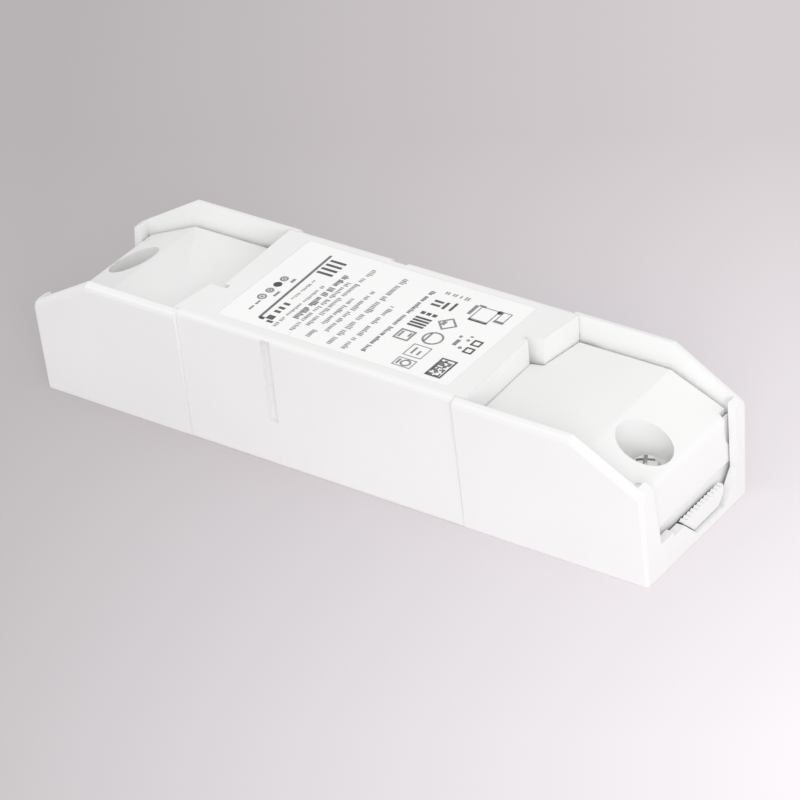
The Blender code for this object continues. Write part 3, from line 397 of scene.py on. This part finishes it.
def strip(bm, low, high):
    """Box between two corners; its vertices are returned."""
    middle = [(a + b) / 2 for a, b in zip(low, high)]
    size = [b - a for a, b in zip(low, high)]
    made = bmesh.ops.create_cube(bm, size=1.0, matrix=Matrix.Translation(middle) @ Matrix.Diagonal((*size, 1.0)))
    return made["verts"]


def round_edges(bm, edges, width, segments):
    """Round edges; the vertices that this makes are returned."""
    return bmesh.ops.bevel(bm, geom=edges, offset=width, offset_type='OFFSET', segments=segments, profile=0.5,
                           affect='EDGES', clamp_overlap=True, material=-1)["verts"]


def edges_of(verts, rule):
    """Edges among these vertices whose two ends follow a rule."""
    return [e for e in {e for v in verts for e in v.link_edges} if all(rule(v.co) for v in e.verts)]


def link_piece(bm, name, mat):
    """Turn a mesh into an object of the driver's one body."""
    mesh = bpy.data.meshes.new(name)
    bm.to_mesh(mesh)
    bm.free()
    mesh.materials.append(mat)
    piece = bpy.data.objects.new(name, mesh)
    bpy.context.scene.collection.objects.link(piece)
    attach(piece, "root")
    return piece


def add_piece(bm, name, mat):
    """Make a closed mesh a piece of the driver."""
    bmesh.ops.recalc_face_normals(bm, faces=bm.faces)
    piece = link_piece(bm, name, mat)
    # A copy of a CAD mesh brings normals that no longer fit.
    stale = piece.data.attributes.get("custom_normal")
    if stale:
        piece.data.attributes.remove(stale)
    return piece


def cad_copy(name):
    """Merged copy of a CAD node's mesh."""
    bm = bmesh.new()
    bm.from_mesh(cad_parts[name].data)
    bmesh.ops.remove_doubles(bm, verts=bm.verts, dist=0.001 * MM)
    return bm


def cut_past(bm, point, normal):
    """Take away what lies past a plane and close the cut."""
    made = bmesh.ops.bisect_plane(bm, geom=bm.verts[:] + bm.edges[:] + bm.faces[:], dist=0.0001 * MM,
                                  plane_co=point, plane_no=normal, clear_outer=True)
    rim = [e for e in made["geom_cut"] if isinstance(e, bmesh.types.BMEdge)]
    bmesh.ops.triangle_fill(bm, edges=rim, use_beauty=True)


def smooth_by_angle(bm, limit):
    """Smooth shading with sharp edges above an angle."""
    bmesh.ops.recalc_face_normals(bm, faces=bm.faces)
    bm.normal_update()
    for face in bm.faces:
        face.smooth = True
    for edge in bm.edges:
        edge.smooth = edge.calc_face_angle(0.0) < limit


def plate(bm, centre, width, height, corners=4, line=0.0, turn=0.0):
    """Flat shape in the print: filled, or hollow with a line of the given width."""
    radius = math.sqrt(0.5) if corners == 4 else 0.5
    start = math.pi / corners if corners == 4 else 0.0
    place = (Matrix.Translation((centre[0], centre[1], 0.0)) @ Matrix.Rotation(turn, 4, 'Z')
             @ Matrix.Diagonal((width, height, 1.0, 1.0)) @ Matrix.Rotation(start, 4, 'Z'))
    made = bmesh.ops.create_circle(bm, cap_ends=True, segments=corners, radius=radius, matrix=place)
    face = made["verts"][0].link_faces[0]
    if line:
        bmesh.ops.inset_individual(bm, faces=[face], thickness=line, depth=0.0, use_even_offset=True)
        bmesh.ops.delete(bm, geom=[face], context='FACES_ONLY')


def print_piece(bm, name, mat, depth):
    """Turn flat shapes into a printed layer on the label."""
    bmesh.ops.translate(bm, vec=(0.0, 0.0, film_top() + PRINT_GAP), verts=bm.verts)
    for face in bm.faces:
        if face.normal.z < 0.0:
            face.normal_flip()
    piece = link_piece(bm, name, mat)
    layer = piece.modifiers.new("layer", 'SOLIDIFY')
    layer.thickness = depth
    layer.offset = 1.0


def label_middle():
    """Middle of the label in the plan."""
    low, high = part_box("label")
    return (low[0] + high[0]) / 2, (low[1] + high[1]) / 2


def film_top():
    """Height of the label's printed face."""
    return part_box("label")[1][2] + FILM_PROUD


class DRIVER_OT_plastic(bpy.types.Operator):
    """Give the housing, its covers and the cord grips their white plastic"""
    bl_idname = "driver.plastic"
    bl_label = "Housing Plastic"

    def execute(self, context):
        dress(MOULDED, satin_plastic(context.scene.driver_plastic))
        return {'FINISHED'}


class DRIVER_OT_joint_laps(bpy.types.Operator):
    """Lay the moulded laps that close the joints between the centre cover and the end walls"""
    bl_idname = "driver.joint_laps"
    bl_label = "Joint Laps"

    def execute(self, context):
        settings = context.scene.driver_joints
        cover_low, cover_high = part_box("centre_cover")
        gap, sliver = settings.gap, 0.05 * MM
        bm = bmesh.new()
        # Foot strip that carries the near skirt down to the floor.
        strip(bm, (-settings.far + NEAR, -settings.foot + sliver, 0.0),
              (settings.near - gap - NEAR, -settings.plate_edge - sliver, cover_low[2] - NEAR))
        for hand, joint, deck_end, sunk in ((-1, settings.near, settings.near_deck, settings.near_sunk),
                                            (1, settings.far, settings.far_deck, settings.far_sunk)):
            tall = cover_high[2] - sunk
            # Standing lap behind the face of the skirt, rounded at the rim as the skirt is.
            verts = strip(bm, (joint - gap + NEAR, settings.foot - settings.lap, 0.0),
                          (joint - NEAR, settings.foot - sunk, tall))
            outer = settings.foot - settings.lap / 2
            rim = edges_of(verts, lambda co: co.y > outer and co.z > tall - NEAR)
            verts = [v for v in verts + round_edges(bm, rim, settings.rim, 4) if v.is_valid]
            for v in set(verts):
                v.co.y += settings.skirt_lean * v.co.z
                v.co.y *= hand
            # Lying lap between the tongue of the cover and the end wall.
            side = settings.foot - settings.wall
            for v in strip(bm, (joint, side - gap + NEAR, tall - settings.tongue),
                           (deck_end - 2 * sliver, side - NEAR, tall)):
                v.co.y += settings.wall_lean * v.co.z
                v.co.y *= hand
        other = bmesh.ops.duplicate(bm, geom=bm.verts[:] + bm.edges[:] + bm.faces[:])["geom"]
        bmesh.ops.rotate(bm, cent=(0.0, 0.0, 0.0), matrix=Matrix.Rotation(math.pi, 3, 'Z'),
                         verts=[v for v in other if isinstance(v, bmesh.types.BMVert)])
        mat = housing_plastic(context)
        add_piece(bm, "joint_laps", mat)
        return {'FINISHED'}


class DRIVER_OT_cord_jaws(bpy.types.Operator):
    """Cut back each terminal cover's end wall and sides, and add its lip, cord jaw and rib behind the notch"""
    bl_idname = "driver.cord_jaws"
    bl_label = "Cord Jaws"

    @staticmethod
    def add_lip(bm, top, hand, settings):
        """Slide a slice of the cover's top plate out at its inner end."""
        lip = bm.copy()
        cut_past(lip, (0.0, 0.0, top - settings.lip_sunk), (0.0, 0.0, 1.0))
        cut_past(lip, (0.0, 0.0, top - settings.lip_foot), (0.0, 0.0, -1.0))
        cut_past(lip, (hand * settings.lip_end, 0.0, 0.0), (hand, 0.0, 0.0))
        bmesh.ops.translate(lip, vec=(-hand * settings.lip, 0.0, 0.0), verts=lip.verts)
        slice_mesh = bpy.data.meshes.new("slice")
        lip.to_mesh(slice_mesh)
        lip.free()
        bm.from_mesh(slice_mesh)
        bpy.data.meshes.remove(slice_mesh)

    def execute(self, context):
        settings = context.scene.driver_jaws
        mat = housing_plastic(context)
        for side, hand in (("left", -1), ("right", 1)):
            low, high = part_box("terminal_cover_" + side)
            face, foot = max(abs(low[0]), high[0]), low[2]
            bm = cad_copy("terminal_cover_" + side)
            wide = max(v.co.y for v in bm.verts if v.co.z < foot + NEAR)
            cut_past(bm, (0.0, 0.0, foot + settings.cut), (0.0, 0.0, -1.0))
            for edge in (-1.0, 1.0):
                cut_past(bm, (0.0, edge * (high[1] - settings.trim), 0.0), (0.0, edge, 0.0))
            self.add_lip(bm, high[2], hand, settings)
            # Jaw, its lower end, and the rib behind the notch: inner edge, foot, top and inset of each.
            jaw_foot, overlap = foot - settings.drop, 0.1 * MM
            stands = []
            for y0, z0, z1, inset in ((-wide, jaw_foot, foot + settings.cut + overlap, settings.inset),
                                      (settings.tab, settings.tab_foot, jaw_foot, settings.inset),
                                      (settings.notch, settings.notch_low, settings.notch_high,
                                       settings.notch_inset)):
                stands += strip(bm, (face - inset - settings.thickness, y0, z0), (face - inset, wide, z1))
            bmesh.ops.rotate(bm, cent=(0.0, 0.0, 0.0), verts=stands,
                             matrix=Matrix.Rotation(math.pi if hand < 0 else 0.0, 3, 'Z'))
            smooth_by_angle(bm, SMOOTH_LIMIT)
            piece = add_piece(bm, "terminal_lid_" + side, mat)
            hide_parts("terminal_cover_" + side)
        return {'FINISHED'}


class DRIVER_OT_cord_grips(bpy.types.Operator):
    """Stand the toothed bars of the cord grips clear of the jaws"""
    bl_idname = "driver.cord_grips"
    bl_label = "Cord Grips"

    def execute(self, context):
        settings = context.scene.driver_jaws
        mat = housing_plastic(context)
        for side, hand in (("left", -1), ("right", 1)):
            low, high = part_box("cord_grip_" + side)
            back = max(abs(low[0]), high[0]) - settings.bar
            bm = cad_copy("cord_grip_" + side)
            cut_past(bm, (hand * back, 0.0, 0.0), (-hand, 0.0, 0.0))
            piece = add_piece(bm, "grip_bar_" + side, mat)
            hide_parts("cord_grip_" + side)
        return {'FINISHED'}


class DRIVER_OT_label_film(bpy.types.Operator):
    """Lay the white label film into its bed, flush with the deck"""
    bl_idname = "driver.label_film"
    bl_label = "Label Film"

    def execute(self, context):
        mat = film(context.scene.driver_label)
        dress(("label",), mat)
        low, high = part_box("label")
        spare, depth, corner_radius, rim_radius = 0.28 * MM, 0.3 * MM, 0.6 * MM, 0.04 * MM
        bm = bmesh.new()
        strip(bm, (low[0] - spare, low[1] - spare, high[2] - depth),
              (high[0] + spare, high[1] + spare, film_top()))
        corners = [e for e in bm.edges if abs(e.verts[0].co.z - e.verts[1].co.z) > depth / 2]
        round_edges(bm, corners, corner_radius, 2)
        rim = edges_of(bm.verts, lambda co: co.z > film_top() - NEAR)
        round_edges(bm, rim, rim_radius, 2)
        piece = add_piece(bm, "label_sheet", mat)
        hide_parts("label")
        return {'FINISHED'}


class DRIVER_OT_label_rows(bpy.types.Operator):
    """Print the rows of small ticks across the label"""
    bl_idname = "driver.label_rows"
    bl_label = "Label Rows"

    def execute(self, context):
        settings = context.scene.driver_label
        chance = random.Random(settings.seed)
        cx, cy = label_middle()
        # Place along the label, ends across it and height of each row, in millimetres from its middle.
        pale = ((-17.9, -4.2, 3.8, 0.7), (-15.1, -14.2, 2.8, 0.8), (-11.1, -13.8, 7.2, 1.1),
                (-9.2, -10.8, 9.0, 1.2), (-9.2, 10.2, 12.8, 1.2), (-6.7, -8.8, 2.2, 1.1),
                (-6.7, -14.2, -11.4, 1.3), (-4.5, -10.8, 5.8, 1.2), (-1.3, -14.4, 13.3, 1.5),
                (2.2, -9.0, 2.8, 1.2), (2.2, -14.4, -10.2, 1.3))
        strong = ((-13.0, -9.8, 8.4, 1.5), (6.2, -13.3, 12.0, 1.1))

        def rows(bm, table, pitch):
            """Lay rows of upright ticks of three heights, in groups of uneven length."""
            for x, y0, y1, tall in table:
                y = y0
                while y < y1:
                    for i in range(chance.randint(3, 9)):
                        height = tall * chance.choice((0.68, 0.76, 1.0))
                        width = settings.tick * chance.uniform(0.75, 1.15) / MM
                        middle = (cx + (x - (tall - height) / 2) * MM, cy + y * MM)
                        plate(bm, middle, height * MM, width * MM)
                        y += settings.tick * pitch / MM
                        if y >= y1:
                            break
                    y += chance.uniform(0.35, 0.8)

        bm = bmesh.new()
        rows(bm, pale, 1.45)
        # One more row lies along the label.
        x, row_end, row_y = 8.8, 14.6, 12.4
        while x < row_end:
            plate(bm, (cx + x * MM, cy + row_y * MM), settings.tick, chance.uniform(0.9, 1.3) * MM)
            x += settings.tick * chance.choice((1.5, 1.5, 3.0)) / MM
        print_piece(bm, "label_rows", ink("pale_print", settings.pale_ink, 0.2), settings.ink_depth)
        bm = bmesh.new()
        rows(bm, strong, 1.3)
        print_piece(bm, "label_strong_rows", ink("strong_print", darker(settings.pale_ink, 0.4), 0.1),
                    settings.ink_depth)
        return {'FINISHED'}


class DRIVER_OT_label_rule(bpy.types.Operator):
    """Print the long rule and the row of rings at the label's left end"""
    bl_idname = "driver.label_rule"
    bl_label = "Label Rule and Rings"

    def execute(self, context):
        settings = context.scene.driver_label
        cx, cy = label_middle()
        bm = bmesh.new()
        plate(bm, (cx - 20.2 * MM, cy), 0.62 * MM, 26.4 * MM, turn=math.radians(2.0))
        print_piece(bm, "label_rule", ink("grey_print", darker(settings.pale_ink, 0.55), 0.1),
                    settings.ink_depth)

        bm = bmesh.new()
        plate(bm, (cx - 23.9 * MM, cy - 1.1 * MM), 1.9 * MM, 1.9 * MM, corners=24)
        print_piece(bm, "label_spot", ink("spot_print", settings.ink, 0.03), settings.ink_depth)
        bm = bmesh.new()
        for y, wide in ((1.3, 1.9), (-3.7, 1.9), (-6.4, 2.1)):
            spot = (cx - 24.0 * MM, cy + y * MM)
            plate(bm, spot, wide * MM, wide * MM, corners=24, line=settings.stroke)
            plate(bm, spot, 0.7 * MM, 0.7 * MM, corners=12)
        for x, y, wide, tall in ((-21.9, 1.5, 0.7, 1.5), (-21.9, -4.2, 0.6, 2.0), (-23.4, -8.6, 0.5, 1.6),
                                 (-23.4, -10.8, 0.5, 1.6)):
            plate(bm, (cx + x * MM, cy + y * MM), wide * MM, tall * MM)
        print_piece(bm, "label_rings", ink("bold_print", darker(settings.pale_ink, 0.3), 0.2),
                    settings.ink_depth)
        return {'FINISHED'}


class DRIVER_OT_label_signs(bpy.types.Operator):
    """Print the plain squares, rings, bars and dots on the rest of the label"""
    bl_idname = "driver.label_signs"
    bl_label = "Label Signs"

    def execute(self, context):
        settings = context.scene.driver_label
        chance = random.Random(settings.seed)
        cx, cy = label_middle()
        thin, thick = 0.55 * settings.stroke, settings.stroke

        def draw(bm, shapes):
            """Each shape is its middle, width and height in millimetres, then corners, line and turn."""
            for x, y, wide, tall, *more in shapes:
                plate(bm, (cx + x * MM, cy + y * MM), wide * MM, tall * MM, *more)

        bm = bmesh.new()
        # Bars and dots beside the rule.
        draw(bm, [(-17.7, y, 1.5, 0.8) for y in (-6.4, -8.1, -9.6)])
        draw(bm, [(-17.7, y, 3.9, 0.75) for y in (6.8, 8.4, 10.0, 11.6)])
        draw(bm, [(-17.6, -12.0, 1.7, 1.5), (-19.1, -13.0, 1.1, 0.9), (-16.9, -13.4, 1.5, 0.7)])
        # First column: bars above one another, a row of squares, short upright bar.
        draw(bm, [(13.1, 8.5, 0.62, 3.1)])
        draw(bm, [(10.2, y, 3.9, 0.62) for y in (-0.9, 0.1, 1.1, 2.1)])
        draw(bm, [(x, 4.0, 1.0, 1.0) for x in (8.8, 10.2, 11.6)])
        draw(bm, [(9.4, 8.9, 2.2, 0.7), (9.4, 7.5, 2.2, 0.7), (11.4, 8.2, 0.7, 2.6)])
        # Third column: dot and small squares.
        draw(bm, [(22.7, 11.1, 1.3, 1.3, 20), (24.9, -0.6, 2.2, 2.1, 4, thick),
                  (24.9, -3.5, 2.2, 2.1, 4, thick)])
        print_piece(bm, "label_signs", ink("sign_print", settings.ink, 0.12), settings.ink_depth)

        bm = bmesh.new()
        # Second column: diamond, ring, box with two bars, ring in a box.
        draw(bm, [(15.6, 2.7, 3.4, 3.4, 4, thick, math.pi / 4), (14.8, 2.7, 0.9, 1.4),
                  (16.0, -3.1, 4.6, 4.6, 32, thick), (14.9, -3.1, thick / MM, 3.0),
                  (16.0, -8.5, 4.4, 4.4, 4, thin), (15.2, -8.5, 0.5, 2.4), (16.6, -8.9, 0.5, 1.6),
                  (16.0, -13.1, 4.4, 3.0, 4, thin), (16.3, -13.1, 2.4, 2.4, 24, thick),
                  (14.6, -13.1, 0.5, 1.8)])
        # First column: box with two bars.
        draw(bm, [(10.2, -4.6, 3.7, 3.7, 4, thick), (9.3, -4.6, 0.5, 2.2), (11.2, -4.2, 0.5, 1.4)])
        # Third column: boxes and small marks.
        draw(bm, [(20.3, 8.8, 4.4, 5.4, 4, thin), (20.3, 6.4, 4.4, 0.8), (17.1, 9.6, 0.8, 3.6),
                  (18.2, 11.6, 1.6, 0.6), (24.3, 9.9, 2.2, 3.6, 4, thin), (24.3, 7.9, 2.4, 0.7),
                  (21.0, -2.1, 0.9, 2.2), (20.6, 0.1, 0.6, 0.8), (22.7, -0.4, 0.8, 0.8, 16),
                  (22.7, -3.4, 0.9, 0.9, 16), (22.7, 1.0, 0.7, 0.5)])
        print_piece(bm, "label_pale_signs", ink("pale_sign_print", darker(settings.pale_ink, 0.3), 0.2),
                    settings.ink_depth)

        # Speckled field in a frame.
        bm = bmesh.new()
        x0, x1, y0, y1 = 21.7, 25.5, -14.6, -8.0
        draw(bm, [((x0 + x1) / 2, (y0 + y1) / 2, x1 - x0, y1 - y0, 4, thick)])
        cell, border, dark_share = 0.4, 0.35, 0.62
        first = border + cell / 2
        for i in range(int((x1 - x0 - 2 * border) / cell)):
            for j in range(int((y1 - y0 - 2 * border) / cell)):
                if chance.random() < dark_share:
                    draw(bm, [(x0 + first + i * cell, y0 + first + j * cell, cell * 0.9, cell * 0.9)])
        print_piece(bm, "label_field", ink("field_print", settings.ink, 0.2), settings.ink_depth)
        return {'FINISHED'}


class DRIVER_OT_screws(bpy.types.Operator):
    """Give the cover screws and terminal screws their metal"""
    bl_idname = "driver.screws"
    bl_label = "Screws"

    def execute(self, context):
        dress(SCREWS, metal("zinc_steel", (0.82, 0.82, 0.81), 0.34, (1.0, 1.0, 5.0), 0.8))
        small = [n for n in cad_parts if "terminal_screw" in n]
        dress(small, metal("nickel_steel", (0.66, 0.64, 0.60), 0.28, (1.0, 1.0, 6.0)))
        return {'FINISHED'}


class DRIVER_OT_inner_parts(bpy.types.Operator):
    """Give the circuit board and the parts on it their finishes"""
    bl_idname = "driver.inner_parts"
    bl_label = "Inner Parts"

    def execute(self, context):
        black = plain_plastic("black_mould", (0.022, 0.022, 0.024), 0.5)
        sleeve = plain_plastic("can_sleeve", (0.030, 0.038, 0.075), 0.30, 1.5 * MM, 0.01 * MM)
        ferrite = plain_plastic("ferrite", (0.060, 0.060, 0.064), 0.62, 0.8 * MM, 0.03 * MM)
        dress(("circuit_board",), laminate())
        dress(("choke_winding_a", "choke_winding_b"), wound_wire())
        dress(("transformer_winding",), wound_tape())
        dress(("choke_core", "transformer_core", "output_choke"), ferrite)
        dress(("input_capacitor", "output_capacitor_a", "output_capacitor_b"), sleeve)
        dress(("bridge_rectifier", "controller_chip", "power_transistor", "output_diode",
               "transformer_bobbin"), black)
        dress(("heatsink",), metal("sink_aluminium", (0.70, 0.71, 0.72), 0.38, (1.0, 8.0, 8.0)))
        dress(("input_terminal", "output_terminal"),
              plain_plastic("terminal_plastic", (0.11, 0.12, 0.13), 0.42))
        dress(("x_capacitor",), plain_plastic("film_yellow", (0.66, 0.50, 0.075), 0.36))
        dress(("varistor", "y_capacitor"), plain_plastic("disc_blue", (0.030, 0.115, 0.33), 0.34, 1 * MM))
        dress(("thermistor",), plain_plastic("disc_green", (0.045, 0.085, 0.048), 0.42, 1 * MM))
        dress(("fuse",), plain_plastic("fuse_body", (0.52, 0.46, 0.36), 0.30))
        dress(("optocoupler",), plain_plastic("chip_white", (0.76, 0.76, 0.73), 0.44))
        return {'FINISHED'}


class DRIVER_OT_stage(bpy.types.Operator):
    """Lay the floor and set the lamps, the even light and the camera"""
    bl_idname = "driver.stage"
    bl_label = "Stage"

    def execute(self, context):
        settings = context.scene.driver_stage
        scene = context.scene

        # Camera at the photograph's angle.
        turn, rise = settings.azimuth, settings.elevation
        back = Vector((math.sin(turn) * math.cos(rise), -math.cos(turn) * math.cos(rise), math.sin(rise)))
        level = Vector((math.cos(turn), math.sin(turn), 0.0))
        upward = back.cross(level)
        c, s = math.cos(settings.roll), math.sin(settings.roll)
        right, up = level * c + upward * s, upward * c - level * s
        camera = bpy.data.cameras.new("camera")
        camera.sensor_width = SENSOR
        camera.lens = settings.lens
        camera.clip_start = 0.01
        camera.clip_end = 20.0
        view = bpy.data.objects.new("camera", camera)
        axes = Matrix((right, up, back)).transposed().to_4x4()
        view.matrix_world = Matrix.Translation(right * settings.aside + up * settings.above
                                               + back * settings.distance) @ axes
        scene.collection.objects.link(view)
        scene.camera = view

        # Floor whose tone runs from dark at the view's upper left to pale at its lower right: painted light
        # falloff, pale at the front right towards the key lamp and darker towards the back left.
        bm = bmesh.new()
        bmesh.ops.create_circle(bm, cap_ends=True, segments=64, radius=settings.floor,
                                matrix=Matrix.Translation((0.0, 0.0, -FLOOR_DROP)))
        mesh = bpy.data.meshes.new("floor")
        bm.to_mesh(mesh)
        bm.free()
        floor = bpy.data.objects.new("floor", mesh)
        scene.collection.objects.link(floor)
        mat, tree, shader, place = new_material("floor")
        reach = settings.distance * (SENSOR / 2) / settings.lens
        shares = []
        for axis, middle, half, low, high in ((right, settings.aside, reach, 0.0, 1.0),
                                              (up, settings.above, TONE_HEIGHT * reach, 1.0, 0.0)):
            flat = Vector((axis.x, axis.y, 0.0))
            run = add_node(tree, 'ShaderNodeVectorMath', {0: place, 1: flat}, operation='DOT_PRODUCT')
            shares.append(spread(tree, run.outputs["Value"], low, high, middle - half, middle + half))
        back = mix(tree, shares[0], settings.back_left, settings.back_right)
        front = mix(tree, shares[0], settings.front_left, settings.front_right)
        tree.links.new(mix(tree, shares[1], back, front), shader.inputs["Base Color"])
        shader.inputs["Roughness"].default_value = 0.9
        shader.inputs["Specular IOR Level"].default_value = 0.1
        mesh.materials.append(mat)

        # Even light from all round, and one large lamp at the right front.
        world = bpy.data.worlds.new("studio")
        scene.world = world
        world.use_nodes = True
        sky = world.node_tree.nodes["Background"]
        sky.inputs["Color"].default_value = (1.0, 1.0, 1.0, 1.0)
        sky.inputs["Strength"].default_value = settings.sky
        lamp = bpy.data.lights.new("key_lamp", 'AREA')
        lamp.shape = 'DISK'
        lamp.size = settings.key_size
        lamp.energy = settings.key
        spot = bpy.data.objects.new("key_lamp", lamp)
        spot.location = settings.key_place
        spot.rotation_euler = spot.location.to_track_quat('Z', 'Y').to_euler()
        scene.collection.objects.link(spot)

        scene.view_settings.view_transform = 'Standard'
        return {'FINISHED'}


class DRIVER_PT_panel(bpy.types.Panel):
    """Settings and steps of the driver's looks"""
    bl_idname = "DRIVER_PT_panel"
    bl_label = "LED Driver"
    bl_space_type = 'VIEW_3D'
    bl_region_type = 'UI'
    bl_category = "Driver"

    def draw(self, context):
        layout = self.layout
        for title, settings in (("Plastic", context.scene.driver_plastic),
                                ("Joints", context.scene.driver_joints),
                                ("Cord jaws", context.scene.driver_jaws),
                                ("Label", context.scene.driver_label),
                                ("Stage", context.scene.driver_stage)):
            box = layout.box()
            box.label(text=title)
            for key in settings.__annotations__:
                box.prop(settings, key)
        for operator in OPERATORS:
            layout.operator(operator.bl_idname)


SETTINGS = (PlasticSettings, LabelSettings, JointSettings, JawSettings, StageSettings)
OPERATORS = (DRIVER_OT_plastic, DRIVER_OT_joint_laps, DRIVER_OT_cord_jaws, DRIVER_OT_cord_grips,
             DRIVER_OT_label_film, DRIVER_OT_label_rows, DRIVER_OT_label_rule, DRIVER_OT_label_signs,
             DRIVER_OT_screws, DRIVER_OT_inner_parts, DRIVER_OT_stage)


def register():
    for cls in (*SETTINGS, *OPERATORS, DRIVER_PT_panel):
        bpy.utils.register_class(cls)
    bpy.types.Scene.driver_plastic = PointerProperty(type=PlasticSettings)
    bpy.types.Scene.driver_label = PointerProperty(type=LabelSettings)
    bpy.types.Scene.driver_joints = PointerProperty(type=JointSettings)
    bpy.types.Scene.driver_jaws = PointerProperty(type=JawSettings)
    bpy.types.Scene.driver_stage = PointerProperty(type=StageSettings)


def unregister():
    del bpy.types.Scene.driver_stage
    del bpy.types.Scene.driver_jaws
    del bpy.types.Scene.driver_joints
    del bpy.types.Scene.driver_label
    del bpy.types.Scene.driver_plastic
    for cls in (DRIVER_PT_panel, *reversed(OPERATORS), *reversed(SETTINGS)):
        bpy.utils.unregister_class(cls)


def main():
    register()
    bpy.ops.driver.plastic()
    bpy.ops.driver.joint_laps()
    bpy.ops.driver.cord_jaws()
    bpy.ops.driver.cord_grips()
    bpy.ops.driver.label_film()
    bpy.ops.driver.label_rows()
    bpy.ops.driver.label_rule()
    bpy.ops.driver.label_signs()
    bpy.ops.driver.screws()
    bpy.ops.driver.inner_parts()
    bpy.ops.driver.stage()


if __name__ == "__main__":
    main()
